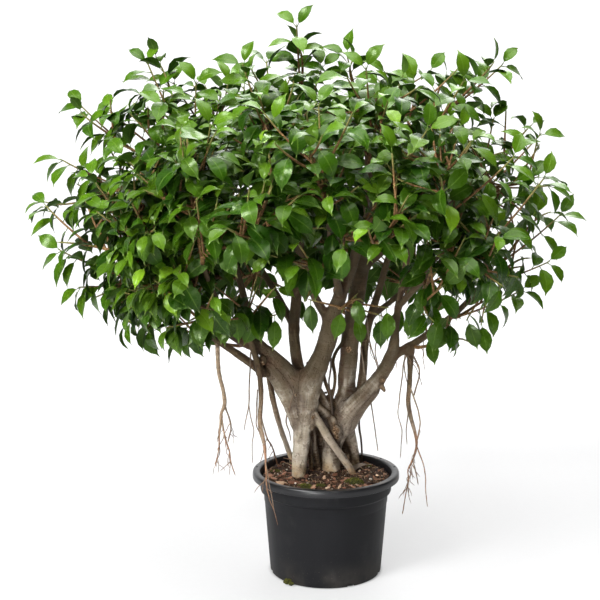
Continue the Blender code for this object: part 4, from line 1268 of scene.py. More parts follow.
# How limbs blend into one skin, with its burls, spurs, webs and scars in millimetres
BLEND_SHARE = 0.9
BLEND_RANGE = (0.003, 0.013)
LIMB_STEP = 0.006
# How far out to feel for crowding limbs, and how strongly they paint shade into the bark's creases
CREASE_STEPS = (0.006, 0.016)
CREASE_GAIN = 1.3
BURLS = [
    (-122, -37, 390, 8.5), (-119, -30, 412, 8.0), (13, 9, 287, 8.0), (19, 6, 271, 10.0), (22, 9, 258, 9.0),
    (-25, -12, 295, 7.5), (-27, -8, 281, 6.5), (-50, 17, 352, 9.0), (106, -9, 371, 6.0),
    (30, 40, 318, 12.0), (66, 30, 331, 8.0), (155, -12, 428, 9.0), (-196, -44, 478, 6.0)]
SPURS = [
    [(103, -4, 360, 5.6), (107, -6, 354, 4.6), (110, -7, 349, 3.0)],
    [(-34, 44, 392, 4.2), (-27, 40, 397, 3.2), (-21, 38, 404, 1.8)],
    [(60, 50, 470, 6.0), (70, 42, 478, 4.0), (76, 38, 486, 2.4)],
]
WEBS = [
    [(-108, -8, 398, 15), (-90, -6, 372, 17), (-74, -4, 345, 18), (-62, -2, 318, 17), (-55, -1, 290, 14)],
    [(88, 8, 345, 12), (68, 14, 320, 14), (54, 20, 294, 13.5), (46, 30, 270, 12)],
    [(14, 30, 160, 16.5), (13, 29, 190, 16), (12, 30, 220, 14.5), (13, 32, 250, 14)],
    [(-21, 62, 165, 7), (-22, 56, 230, 7.5), (-20, 46, 270, 8.5), (-17, 34, 300, 9)],
    [(42, 74, 150, 9), (40, 70, 190, 9), (36, 62, 230, 10), (34, 50, 262, 11)],
    [(-9, 68, 165, 8.5), (-9, 64, 214, 9.0), (-8, 54, 248, 10.0), (-4, 42, 284, 12.0)],
    [(-24, 10, 354, 9.0), (-11, 22, 336, 9.0), (-3, 32, 316, 10.0), (8, 36, 296, 11.0)],
    [(40, 50, 452, 3.4), (32, 45, 432, 3.2), (20, 40, 415, 3.1), (14, 35, 396, 3.1), (18, 33, 372, 3.1),
     (17, 33, 349, 3.2), (11, 30, 325, 3.6), (8, 32, 306, 4.0)],
    [(-8, 14, 392, 3.6), (-4, 20, 372, 3.4), (2, 30, 350, 3.6), (9, 34, 331, 4.0), (18, 36, 308, 4.6)],
    [(32, 44, 356, 3.4), (29, 40, 343, 3.2), (25, 38, 328, 3.4), (20, 36, 308, 4.0)],
    [(-152, -62, 492, 4.4), (-145, -60, 468, 5.0), (-137, -52, 440, 5.4), (-129, -45, 410, 5.6),
     (-123, -40, 388, 6.0)],
    [(-210, -64, 460, 4.6), (-178, -50, 436, 6.2), (-158, -40, 420, 7.2), (-137, -30, 403, 8.0),
     (-116, -20, 386, 9.0)],
]
SCARS = [
    (15, -4, 283, 6), (19, -6, 270, 8), (19, -2, 257, 6), (106, -10, 370, 6), (-57, -20, 344, 3.5),
    (-25, -22, 301, 4), (-122, -34, 405, 8), (-8, -24, 460, 6), (44, 40, 420, 6)]

# Fine roots beside the trunk's own hanging roots
ROOTLETS = [
    [(-187, -50, 327, 0.9), (-181, -50, 307, 0.8), (-178, -50, 289, 0.7), (-182, -50, 268, 0.5)],
    [(-201, -50, 273, 0.8), (-199, -51, 258, 0.7), (-199, -52, 240, 0.6), (-207, -52, 222, 0.4)],
    [(-140, -40, 428, 0.9), (-142, -70, 372, 0.8), (-143, -70, 336, 0.7), (-148, -70, 311, 0.6),
     (-151, -70, 291, 0.4)],
    [(-143, -70, 336, 0.7), (-140, -70, 314, 0.7), (-134, -70, 287, 0.6), (-137, -70, 264, 0.5),
     (-137, -70, 230, 0.4)],
    [(-128, -50, 360, 0.9), (-129, -60, 319, 0.8), (-130, -65, 297, 0.7), (-123, -72, 284, 0.6)],
    [(-112, -98, 238, 0.6), (-109, -112, 226, 0.5), (-104, -132, 202, 0.5), (-98, -141, 176, 0.4),
     (-95, -141, 158, 0.3)],
    [(160, -12, 424, 1.2), (164, -14, 415, 1.1), (174, -15, 394, 1.0), (174, -14, 376, 0.9),
     (166, -12, 343, 0.9)],
    [(170, -10, 232, 1.0), (166, -12, 217, 0.8), (170, -13, 198, 0.7), (175, -14, 171, 0.5)],
    [(150, -12, 428, 0.9), (145, -12, 401, 0.8), (143, -11, 376, 0.8), (138, -10, 331, 0.7),
     (136, -10, 303, 0.6), (144, -10, 274, 0.6), (143, -10, 246, 0.5), (142, -10, 222, 0.4)],
    [(150, -18, 418, 0.8), (145, -22, 405, 0.7), (149, -22, 378, 0.6), (151, -20, 369, 0.4)],
    [(156, -12, 330, 0.8), (153, -24, 306, 0.7), (150, -30, 283, 0.6), (151, -30, 254, 0.4)],
    [(80, 56, 480, 1.1), (82, 50, 450, 1.0), (90, 60, 418, 0.9), (103, 70, 376, 0.7), (108, 72, 340, 0.5)],
    [(70, 66, 420, 1.1), (77, 60, 369, 1.0), (88, 60, 319, 0.9), (96, 60, 268, 0.7), (104, 60, 217, 0.5)],
    [(68, 62, 330, 2.6), (67, 70, 265, 2.4), (72, 75, 233, 2.2), (74, 80, 200, 2.0), (72, 80, 172, 1.8)],
    [(-2, 40, 300, 2.2), (-6, 52, 262, 2.0), (-4, 60, 225, 2.0), (-2, 66, 172, 1.8)],
    [(-70, -4, 376, 1.0), (-61, -30, 352, 0.9), (-66, -35, 334, 0.8), (-70, -35, 315, 0.6)],
    [(-60, 10, 345, 1.0), (-76, 20, 290, 0.9), (-70, 20, 262, 0.7), (-67, 20, 246, 0.5)],
    [(6, -26, 486, 0.8), (0, -28, 455, 0.7), (-3, -26, 440, 0.5)],
    [(96, 62, 470, 0.9), (100, 60, 440, 0.8), (97, 58, 410, 0.7), (106, 60, 372, 0.5)],
]
HAIRS = [
    ("far_left_root", 0.62, 1.0, 9, 0.045), ("far_left_tail", 0.3, 1.0, 8, 0.040),
    ("far_left_branch", 0.5, 1.0, 4, 0.035), ("left_hanging_root", 0.55, 0.80, 6, 0.045),
    ("left_hanging_branch", 0.3, 0.8, 4, 0.035), ("right_hanging_root", 0.55, 0.84, 20, 0.034),
    ("right_hanging_loop", 0.3, 1.0, 2, 0.020),
    ("right_bough", 0.02, 0.30, 7, 0.080), ("left_bough", 0.45, 0.85, 8, 0.075),
    ("far_right_bough", 0.1, 0.5, 4, 0.070), ("back_right_stem", 0.35, 0.7, 6, 0.085),
    ("back_bough", 0.1, 0.6, 5, 0.075), ("back_left_bough", 0.1, 0.6, 6, 0.080),
]


def skin_limbs():
    """The limbs thick enough to be part of the trunk's one skin."""
    tables = list(LIMBS.values()) + SPURS + WEBS
    for table in ROOTS.values():
        thick = [row for row in table if row[3] * MM >= SKIN_LEAST]
        if len(thick) > 1:
            tables.append(thick)
    for x, y, z, radius in BURLS:
        tables.append([(x, y, z - 1.5, radius), (x, y, z + 1.5, radius)])
    return [smooth_table(table, LIMB_STEP) for table in tables]


def limb_gap(points, line, radii):
    """For each point: its gap to a limb, the limb's radius there, and its place in the limb's own run."""
    count = len(points)
    gap = np.full(count, np.inf)
    girth = np.zeros(count)
    place = np.zeros((count, 3))
    across = side_of(unit(line[1] - line[0]))
    run = 0.0
    for a, b, ra, rb in zip(line[:-1], line[1:], radii[:-1], radii[1:]):
        step = b - a
        length = float(np.linalg.norm(step))
        across = unit(across - step * np.dot(across, step) / length**2)
        over = np.cross(step / length, across)
        t = np.clip((points - a) @ step / length**2, 0.0, 1.0)
        offset = points - a - t[:, None] * step
        radius = ra + (rb - ra) * t
        found = np.linalg.norm(offset, axis=1) - radius
        near = found < gap
        gap[near] = found[near]
        girth[near] = radius[near]
        place[near] = np.column_stack([offset @ across, offset @ over, run + t * length])[near]
        run += length
    return gap, girth, place


def skin_gap(points, limbs):
    """How far points are outside the blended skin, and what the nearest limb says there."""
    count = len(points)
    gap = np.full(count, 1.0)
    girth = np.full(count, 0.01)
    place = np.zeros((count, 3))
    crease_shade = np.zeros(count)
    reach = 0.03
    for number, (line, radii) in enumerate(limbs):
        low = line.min(axis=0) - radii.max() - reach
        high = line.max(axis=0) + radii.max() + reach
        rows = np.flatnonzero(((points > low) & (points < high)).all(axis=1))
        if not len(rows):
            continue
        found, thick, own = limb_gap(points[rows], line, radii)
        old = gap[rows]
        blend = np.clip(BLEND_SHARE * np.minimum(thick, girth[rows]), *BLEND_RANGE)
        meet = np.clip(1.0 - np.abs(old - found) / blend, 0.0, 1.0)
        gap[rows] = np.minimum(old, found) - meet**2 * blend / 4.0
        own[:, 2] += number * 3.7
        closer = found < old
        girth[rows[closer]] = thick[closer]
        place[rows[closer]] = own[closer]
        # Where limbs meet, kept for the shade painted into the creases
        crease_shade[rows] = np.maximum(crease_shade[rows] * np.where(closer & (meet <= 0.0), 0.3, 1.0), meet)
    return gap, girth, place, crease_shade


def skin_mesh():
    """The trunk and its boughs as one closed skin with rounded forks."""
    limbs = skin_limbs()
    solids = gathered(tube(line, radii + 0.0006, SKIN_SIDES) for line, radii in limbs)
    rough = shown("rough trunk", plain_mesh("rough trunk", *solids))
    remesh = rough.modifiers.new("skin", "REMESH")
    remesh.mode = "VOXEL"
    remesh.voxel_size = SKIN_VOXEL
    mesh = settled(rough)
    discard(rough)
    count = len(mesh.vertices)
    spots = np.zeros(count * 3)
    normals = np.zeros(count * 3)
    for _ in range(SKIN_PASSES):
        mesh.vertices.foreach_get("co", spots)
        mesh.vertex_normals.foreach_get("vector", normals)
        spots = spots.reshape(-1, 3)
        gap = skin_gap(spots, limbs)[0]
        spots = spots - normals.reshape(-1, 3) * np.clip(gap, -0.006, 0.006)[:, None] * 0.9
        mesh.vertices.foreach_set("co", spots.ravel())
        mesh.update()
        spots = spots.ravel()
    spots = spots.reshape(-1, 3)
    _, girth, place, crease_shade = skin_gap(spots, limbs)
    mesh.vertex_normals.foreach_get("vector", normals)
    outward = normals.reshape(-1, 3)
    # Painted shade: how crowded each point is by nearby limbs, and where limbs meet, darkens the bark there
    crowding = [1.0 - skin_gap(spots + outward * step, limbs)[0] / step for step in CREASE_STEPS]
    crease_shade = np.clip(np.maximum(crease_shade * 0.5, np.max(crowding, axis=0) * CREASE_GAIN), 0.0, 1.0)
    scar = np.zeros(count)
    for x, y, z, radius in SCARS:
        away = np.linalg.norm(spots - np.array((x, y, z)) * MM, axis=1) / (radius * MM)
        scar = np.maximum(scar, np.clip(1.4 - away, 0.0, 1.0))
    paint(mesh, "bark_place", place)
    paint(mesh, "bark_look", np.column_stack([girth * 50.0, crease_shade, scar]))
    return mesh


def bark_tree():
    """Gives the trunk's skin its lumps, rings and rough scars."""
    g = Growth("bark relief", bark_finish="Material", lump_height=0.0028, lump_size=0.032,
               ring_height=0.0005, ring_spacing=0.0065, scar_height=0.0035)
    here = g.geo("InputPosition")
    x, y, run = g.painted("bark_place").parts()
    girth, _, scar = g.painted("bark_look").parts()
    one = g.given("lump_size").work("POWER", -1.0)
    lumps = (g.noise(here * one, 1.0, 2.0) - 0.5) * g.given("lump_height") * (girth + 0.25)
    ringed = g.vector(x * 22.0, y * 22.0, run / g.given("ring_spacing"))
    rings = (g.noise(ringed, 1.0, 2.0) - 0.5) * g.given("ring_height") * (girth + 0.4)
    rough = (g.noise(here, 190.0, 3.0, 0.7) - 0.45) * g.given("scar_height") * scar
    offset = g.geo("InputNormal") * (lumps * 2.0 + rings * 2.0 + rough * 2.0)
    return g.end(g.moved(g.given(), offset), ("bark_finish",))


def bark_finish():
    """Smooth grey-beige bark with fine rings, small pores and scars; brown creases, partly stain, partly
    painted shade.
    """
    f = Finish("ficus bark", 0.72)
    here = f.here()
    place = f.painted("bark_place").parts()
    girth, crease_shade, scar = f.painted("bark_look").parts()
    height = here.parts()[2]
    rings = f.drawn(place, 26.0, 210.0, 4.0, 0.6)
    broad = f.drawn(place, 30.0, 34.0)
    mottle = f.noise(here, 48.0, 4.0, 0.6)
    fibres = f.drawn(place, 420.0, 30.0, 2.0)
    streaks = f.drawn(place, 130.0, 13.0)
    bark = f.ramp(rings * 0.22 + broad * 0.26 + mottle * 0.26 + streaks * 0.26, [
        (0.40, (0.095, 0.066, 0.042)), (0.46, (0.215, 0.168, 0.120)),
        (0.52, (0.340, 0.288, 0.222)), (0.59, (0.560, 0.505, 0.425))])
    warm = f.ramp(rings * 0.5 + mottle * 0.5, [
        (0.32, (0.085, 0.048, 0.026)), (0.52, (0.200, 0.125, 0.070)), (0.70, (0.330, 0.235, 0.150))])
    green = f.noise(here, 17.0, 2.0).span(0.46, 0.66) * height.span(0.18, 0.34, 0.45, 0.15)
    tan = height.span(0.188, 0.222, 1.0, 0.0) * mottle.span(0.30, 0.60)
    # Partly stain, partly painted shade: dark brown patches in the creases
    crease_stain_and_shade = crease_shade.span(0.05, 0.60) * (mottle * 0.5 + rings * 0.5).span(0.40, 0.60)
    blots = f.noise(here, 31.0, 4.0, 0.70).span(0.53, 0.66)
    flecks = f.drawn(place, 150.0, 75.0, 3.0, 0.6).span(0.58, 0.68)
    pores = f.drawn(place, 240.0, 620.0, 1.0).span(0.69, 0.75)
    torn = f.ramp(f.noise(here, 260.0, 3.0, 0.7), [
        (0.36, (0.030, 0.014, 0.008)), (0.50, (0.130, 0.068, 0.030)), (0.58, (0.330, 0.210, 0.110)),
        (0.68, (0.680, 0.580, 0.420))])
    f.set("Base Color", f.coats(bark, [
        (girth.span(0.22, 0.62, 0.85, 0.0), warm),
        (green, (0.190, 0.172, 0.078)),
        # Painted light: the bark is paler low down on the legs, where light reaches under the crown
        (height.span(0.20, 0.34, 0.42, 0.0), (0.660, 0.590, 0.490)),
        (tan * 0.80, (0.380, 0.250, 0.120)),
        # Painted shade: above about 0.31 m the bark turns a darker, warmer brown for the crown's shade over
        # it
        (height.span(0.31, 0.46, 0.0, 0.60), warm),
        (height.span(0.31, 0.41, 0.0, 0.86), (0.050, 0.036, 0.016)),
        # Painted shade: the bark darkens brown in its creases and forks, where limbs crowd each other
        (crease_shade.span(0.10, 0.80) * 0.70, (0.062, 0.038, 0.022)),
        (crease_stain_and_shade * 0.85, (0.055, 0.028, 0.014)),
        (blots * 0.62, (0.105, 0.066, 0.038)),
        (flecks * 0.45, (0.100, 0.068, 0.042)),
        (pores * 0.65, (0.080, 0.050, 0.030)),
        (scar.span(0.20, 0.65) * 0.9, torn)]))
    f.set("Roughness", rings.span(0.3, 0.7, 0.62, 0.82))
    f.set("Specular IOR Level", 0.18)
    fine = rings * 0.8 + fibres * 0.25 + pores * -0.6 + mottle * 0.8 + flecks * -0.5
    f.relief(fine + scar * torn.parts()[0], 0.0022, 1.0)
    return f.material


def thin_part(table):
    """The part of a root's table that is too thin for the skin, with one row of overlap."""
    thick = sum(1 for row in table if row[3] * MM >= SKIN_LEAST)
    return table[max(0, thick - 2):] if thick > 1 else table


def root_mesh(name, tables, tone, swell):
    """The lines of some roots as edges, with girth, how young and dark each is, and how far it has run."""
    points = []
    girth = []
    look = []
    for number, table in enumerate(tables):
        rows = np.array(table, float) * MM
        rows[:, 3] *= swell
        rows[0, 3] *= 0.94
        rows = np.vstack([rows, rows[-1]])
        rows[-1, :3] += unit(rows[-2, :3] - rows[-3, :3]) * ROOT_POINT
        rows[-1, 3] = ROOT_POINT_RADIUS
        points.extend(rows[:, :3])
        girth.extend(rows[:, 3])
        run = np.append(0.0, np.cumsum(np.linalg.norm(np.diff(rows[:, :3], axis=0), axis=1)))
        shares = run / run[-1]
        look.extend((*tone(share, row[2]), number * 1.3 + r) for share, r, row in zip(shares, run, rows))
    mesh = plain_mesh(name, points, edges=run_edges(len(table) + 1 for table in tables))
    paint(mesh, "girth", girth)
    paint(mesh, "root_look", look)
    return mesh


def root_tree():
    """Grows roots as gently wavering round tubes along their lines."""
    g = Growth("hanging roots", root_finish="Material", root_step=0.004, root_sides=9,
               waver=0.0022, waver_size=0.045, knuckle_share=0.35)
    here = g.geo("InputPosition")
    one = g.given("waver_size").work("POWER", -1.0)
    swing = g.wire("ShaderNodeTexNoise", {"Vector": here, "Scale": one, "Detail": 2.0}, 1)
    girth = g.named("girth")
    loose = (swing - (0.5, 0.5, 0.5)) * g.given("waver") * girth.span(0.0010, 0.0045, 1.6, 0.25)
    knuckles = (g.noise(here, 120.0, 2.0) - 0.5) * g.given("knuckle_share") * 2.0 + 1.0
    shape = g.tubes(g.given(), g.given("root_step"), g.given("root_sides"), girth * knuckles, loose)
    return g.end(g.geo("SetShadeSmooth", Geometry=shape), ("root_finish",))


def hair_tables():
    """Thread-fine rootlets that hang from the roots and boughs, on seeded walks."""
    draw = np.random.default_rng(SEED * 11)
    tables = []
    for name, first, last, count, length in HAIRS:
        line, radii = smooth_table(LIMBS.get(name) or ROOTS[name], LIMB_STEP)
        for _ in range(count):
            share = draw.uniform(first, last)
            spot, _ = along(line, share)
            radius = float(np.interp(share, np.linspace(0, 1, len(radii)), radii))
            reach = length * draw.uniform(0.45, 1.25)
            heading = np.array((draw.normal(0, 0.45), draw.normal(0, 0.35), -1.0))
            steps = max(4, int(reach / 0.011))
            rows = []
            thick = min(0.90, radius / MM * 0.7)
            for step in range(steps):
                rows.append((*(spot / MM), thick * (1.0 - 0.4 * step / steps)))
                heading = unit(heading + draw.normal(0, 0.30, 3) - UP * 0.18)
                spot = spot + heading * reach / steps
            tables.append(rows)
    return tables


def root_finish():
    """Root skin: pale tan above, orange-brown where it is young and wet below."""
    f = Finish("hanging root skin", 0.66)
    here = f.here()
    tone, dark, run = f.painted("root_look").parts()
    bands = f.noise(f.vector(0.0, run * 9.0, run * 140.0), 1.0, 3.0)
    grain = f.noise(here, 240.0, 3.0, 0.65)
    mottle = f.noise(here, 38.0, 3.0)
    mixed = bands * 0.45 + grain * 0.30 + mottle * 0.25
    old = f.ramp(mixed, [(0.32, (0.150, 0.095, 0.055)), (0.50, (0.300, 0.215, 0.135)),
                         (0.68, (0.450, 0.345, 0.235))])
    young = f.ramp(mixed, [(0.32, (0.070, 0.026, 0.012)), (0.50, (0.205, 0.085, 0.034)),
                           (0.68, (0.310, 0.150, 0.070))])
    skin = f.mix(tone.span(0.25, 0.75), old, young)
    # Dark grey-brown by the root's darkness; on the shaded roots this is painted shade, near black
    skin = f.mix(dark, skin, (0.048, 0.032, 0.022))
    f.set("Base Color", skin)
    f.relief(bands * 0.8 + grain * 0.6, 0.0006, 0.8)
    return f.material


def build_trunk():
    """The trunk's skin, and the roots that hang beside it."""
    bark = bark_tree().grow("trunk_and_boughs", skin_mesh(), keep=("bark_place", "bark_look"),
                            bark_finish=bark_finish())
    fit(bark, "trunk", "trunk")
    skin = root_finish()
    tree = root_tree()
    hanging = {name: thin_part(table) for name, table in ROOTS.items()
               if min(row[3] for row in table) * MM < SKIN_LEAST}
    for name, (heights, shares) in ROOT_SWELLS.items():
        hanging[name] = [(x, y, z, r * np.interp(z, heights, shares)) for x, y, z, r in hanging[name]]
    # Painted shade: the thick rootlets behind and between the trunks and the inner root are painted near
    # black
    shaded = [t for t in ROOTLETS if max(row[3] for row in t) > THICK_ROOTLET] + [hanging.pop("inner_root")]
    fine = [t for t in ROOTLETS if max(row[3] for row in t) <= THICK_ROOTLET]
    groups = [
        ("hanging_roots", list(hanging.values()),
         lambda share, z: (np.clip((0.33 - z) / 0.12, 0.0, 0.62), 0.08), 1.0, {}),
        ("shaded_roots", shaded, lambda share, z: (0.5, 0.95), 1.0, {"root_sides": 8}),
        ("fine_roots", fine, lambda share, z: (0.25 + 0.25 * share, 0.62 - 0.20 * share), 1.6,
         {"root_sides": 6}),
        ("root_hairs", hair_tables(), lambda share, z: (0.45 + 0.2 * share, 0.45 - 0.15 * share), 1.0,
         {"root_sides": 4, "root_step": 0.006, "waver": 0.004})]
    for name, tables, tone, swell, sizes in groups:
        lines = root_mesh(name + " lines", tables, tone, swell)
        fit(tree.grow(name, lines, keep=("root_look",), root_finish=skin, **sizes), "trunk", "trunk")


# Pot: the wall from the middle of the underside, out, up, over the rim and down inside
POT_TURNS = 144
POT_LINE = [
    (0.0000, 0.0048), (0.0300, 0.0048), (0.0600, 0.0049), (0.0960, 0.0050), (0.1008, 0.0046),
    (0.1020, 0.0030), (0.1022, 0.0008), (0.1030, 0.0001), (0.1048, 0.0001), (0.1057, 0.0006),
    (0.1063, 0.0020), (0.1074, 0.0120), (0.1100, 0.0450), (0.1128, 0.0800), (0.1155, 0.1150),
    (0.1168, 0.1330), (0.11705, 0.1350), (0.1173, 0.1362), (0.1179, 0.1375), (0.1186, 0.1520),
    (0.1192, 0.1545), (0.1206, 0.1562), (0.1232, 0.1570), (0.1246, 0.1580), (0.1251, 0.1600),
    (0.1256, 0.1720), (0.1262, 0.1860), (0.1266, 0.1908), (0.1274, 0.1922), (0.1300, 0.1926),
    (0.1355, 0.1924), (0.1376, 0.1915), (0.1383, 0.1895), (0.1385, 0.1835), (0.1387, 0.1822),
    (0.1393, 0.1817), (0.1399, 0.1822), (0.1401, 0.1840), (0.1400, 0.1880), (0.1398, 0.1912),
    (0.1390, 0.1935), (0.1374, 0.1948), (0.1352, 0.1952), (0.1318, 0.1951), (0.1290, 0.1947),
    (0.1268, 0.1938), (0.1256, 0.1920), (0.1251, 0.1890), (0.1245, 0.1760), (0.1236, 0.1610),
    (0.1225, 0.1590), (0.1195, 0.1575), (0.1176, 0.1560), (0.1168, 0.1530), (0.1130, 0.1030),
    (0.1090, 0.0520), (0.1060, 0.0140), (0.1050, 0.0090), (0.1032, 0.0074), (0.0600, 0.0072),
    (0.0000, 0.0071)]
NOTCH_ANGLES = [25, 71, 117, 163, 200, 240, 283, 317]
NOTCH_SIZE = (0.016, 0.018, 0.0048)
NOTCH_MIDDLE = 0.1045
DRAIN_HOLES = 5
DRAIN_RADIUS = 0.006
DRAIN_CIRCLE = 0.068
RIM_HOLE_ANGLES = [6, 33.5, 146.5, 174]
RIM_HOLE_RADIUS = 0.0027
RIM_HOLE_CIRCLE = 0.1333
POT_CREASE = math.radians(42)

# Soil
SOIL_LEVEL = 0.1805
SOIL_RINGS = 44
SOIL_TURNS = 132
SOIL_REACH = 0.1228
MOSS_CUSHIONS = [
    (-39, -74, 16, 10, 6.5), (53, -48, 17, 12, 9), (-12, -62, 9, 7, 4), (-98, 30, 10, 8, 4),
    (20, 104, 14, 9, 4), (-60, 84, 10, 8, 4), (84, 66, 8, 7, 4)]

# Large loose flakes on the soil: x and y in millimetres, turn in degrees, length, width and tone
LOOSE_FLAKES = [
    (-79, 8, 20, 10, 6, 0.50), (-88, -12, -15, 7, 5, 0.42), (-97, -26, 10, 11, 4, 0.66),
    (-72, -30, 30, 8, 4, 0.35), (-66, 40, -30, 9, 6, 0.38), (-90, 62, 10, 10, 6, 0.30),
    (-58, -58, 60, 5, 4, 0.92), (-44, -40, 10, 6, 4, 0.45), (1, -82, 5, 10, 5, 0.78),
    (14, -70, 40, 8, 4, 0.50), (-22, -84, 20, 6, 3, 0.55), (32, -84, -20, 7, 4, 0.40),
    (66, 22, 60, 7, 5, 0.84), (84, -30, 10, 6, 5, 0.95), (98, -8, -10, 8, 5, 0.74),
    (72, -66, 30, 7, 4, 0.36), (-20, -50, 80, 5, 3, 0.60), (30, -40, 15, 8, 5, 0.48),
    (104, 26, 50, 7, 5, 0.44), (-30, 96, 15, 11, 6, 0.40), (44, 96, -35, 10, 6, 0.50),
    (0, 110, 5, 8, 5, 0.72), (80, 84, 40, 9, 5, 0.36), (-100, 24, 70, 7, 4, 0.58),
    (-84, 88, 35, 8, 5, 0.47), (12, 76, 70, 7, 5, 0.55), (-112, 6, 80, 6, 4, 0.40), (60, -92, 5, 6, 4, 0.62)]

# Fallen leaves: x, y, turn, size and how dry; moss at the foot: as the cushions, then seed and floor
FALLEN_LEAVES = [(92, 50, 200, 0.9, 0.2), (-84, 96, 320, 0.7, 0.8), (24, 88, 80, 0.6, 0.6)]
NOTCH_MOSS = [(-73, -90, 8, 6, 4, 21, 0.0068), (-66, -97, 4, 4, 3, 22, 0.0052)]

# Bits strewn over the soil: piece, finish and its tones, the sizes of its three shapes,
# how many to a square metre, how close, and the smallest and largest share of their size
BIT_INPUTS = ("first_bit", "second_bit", "third_bit")
SOIL_LAYERS = [
    ("bark_chips", "broken bark chips", [
        (0.10, (0.018, 0.009, 0.006)), (0.36, (0.060, 0.026, 0.014)), (0.56, (0.165, 0.064, 0.032)),
        (0.74, (0.340, 0.170, 0.098)), (0.90, (0.600, 0.430, 0.280))],
     [(0.0078, 0.0044, 0.0015), (0.0050, 0.0036, 0.0019), (0.0095, 0.0024, 0.0012)],
     8500.0, 0.0058, 0.45, 1.75),
    ("soil_crumbs", "earth crumbs and perlite", [
        (0.20, (0.014, 0.008, 0.005)), (0.55, (0.060, 0.032, 0.017)), (0.76, (0.150, 0.082, 0.042)),
        (0.86, (0.460, 0.390, 0.300)), (0.93, (0.780, 0.750, 0.690))],
     [(0.0017, 0.0014, 0.0012), (0.0023, 0.0016, 0.0013), (0.0011, 0.0011, 0.0010)],
     52000.0, 0.0019, 0.55, 1.25),
    ("dry_threads", "dry root threads", [
        (0.20, (0.110, 0.050, 0.025)), (0.55, (0.260, 0.140, 0.070)), (0.85, (0.480, 0.340, 0.200))],
     [(0.0090, 0.00045, 0.00040), (0.0060, 0.0005, 0.0004), (0.0120, 0.0006, 0.0005)],
     5200.0, 0.004, 0.6, 1.3),
]


def turned(profile, turns):
    """A closed solid of revolution from a profile that starts and ends on the axis."""
    points = [(0.0, 0.0, profile[0][1])]
    for radius, height in profile[1:-1]:
        for k in range(turns):
            angle = 2.0 * math.pi * k / turns
            points.append((radius * math.cos(angle), radius * math.sin(angle), height))
    points.append((0.0, 0.0, profile[-1][1]))
    last = len(points) - 1
    faces = []
    for k in range(turns):
        after = (k + 1) % turns
        faces.append((0, 1 + after, 1 + k))
        faces.append((last, last - turns + k, last - turns + after))
    return points, faces + tube_faces(1, len(profile) - 2, turns)[:-2]


def block(centre, out, side, size):
    """A block's points and faces: its length along out, its width along side, its height along Z."""
    points = [np.array(centre) + (out * x * size[0] + side * y * size[1] + UP * z * size[2]) / 2
              for z in (-1, 1) for y in (-1, 1) for x in (-1, 1)]
    faces = [(0, 2, 3, 1), (4, 5, 7, 6), (0, 1, 5, 4), (2, 6, 7, 3), (0, 4, 6, 2), (1, 3, 7, 5)]
    return points, faces


def round_way(degrees):
    """The level unit vector at this angle around the pot."""
    angle = math.radians(degrees)
    return np.array((math.cos(angle), math.sin(angle), 0.0))


def pot_cuts():
    """The drain notches in the foot, the holes in the floor and the small holes in the rim."""
    cuts = []
    for degrees in NOTCH_ANGLES:
        out = round_way(degrees - 90)
        side = np.array((-out[1], out[0], 0.0))
        centre = out * NOTCH_MIDDLE + UP * (NOTCH_SIZE[2] / 2 - 0.002)
        cuts.append(block(centre, out, side, (NOTCH_SIZE[1], NOTCH_SIZE[0], NOTCH_SIZE[2] + 0.004)))
    holes = [(360.0 * (k + 0.5) / DRAIN_HOLES, DRAIN_CIRCLE, 0.002, 0.012, DRAIN_RADIUS, 24)
             for k in range(DRAIN_HOLES)]
    holes += [(degrees, RIM_HOLE_CIRCLE, 0.190, 0.198, RIM_HOLE_RADIUS, 14) for degrees in RIM_HOLE_ANGLES]
    for degrees, circle, low, high, radius, sides in holes:
        spot = round_way(degrees) * circle
        cuts.append(tube(np.array([spot + (0, 0, low), spot + (0, 0, high)]), [radius] * 2, sides))
    return cuts


def build_pot():
    """The nursery pot, turned in one piece, with its notches and holes cut through."""
    pot = shown("nursery_pot", plain_mesh("nursery_pot", *turned(POT_LINE, POT_TURNS)), pot_finish())
    cutter = shown("cutter", plain_mesh("cutter", *gathered(pot_cuts())))
    cut = pot.modifiers.new("cut", "BOOLEAN")
    cut.operation = "DIFFERENCE"
    cut.solver = "EXACT"
    cut.object = cutter
    mesh = settled(pot)
    pot.modifiers.remove(cut)
    pot.data = mesh
    discard(cutter)
    mesh.shade_smooth()
    mesh.set_sharp_from_angle(angle=POT_CREASE)
    fit(pot, "pot", "pot")


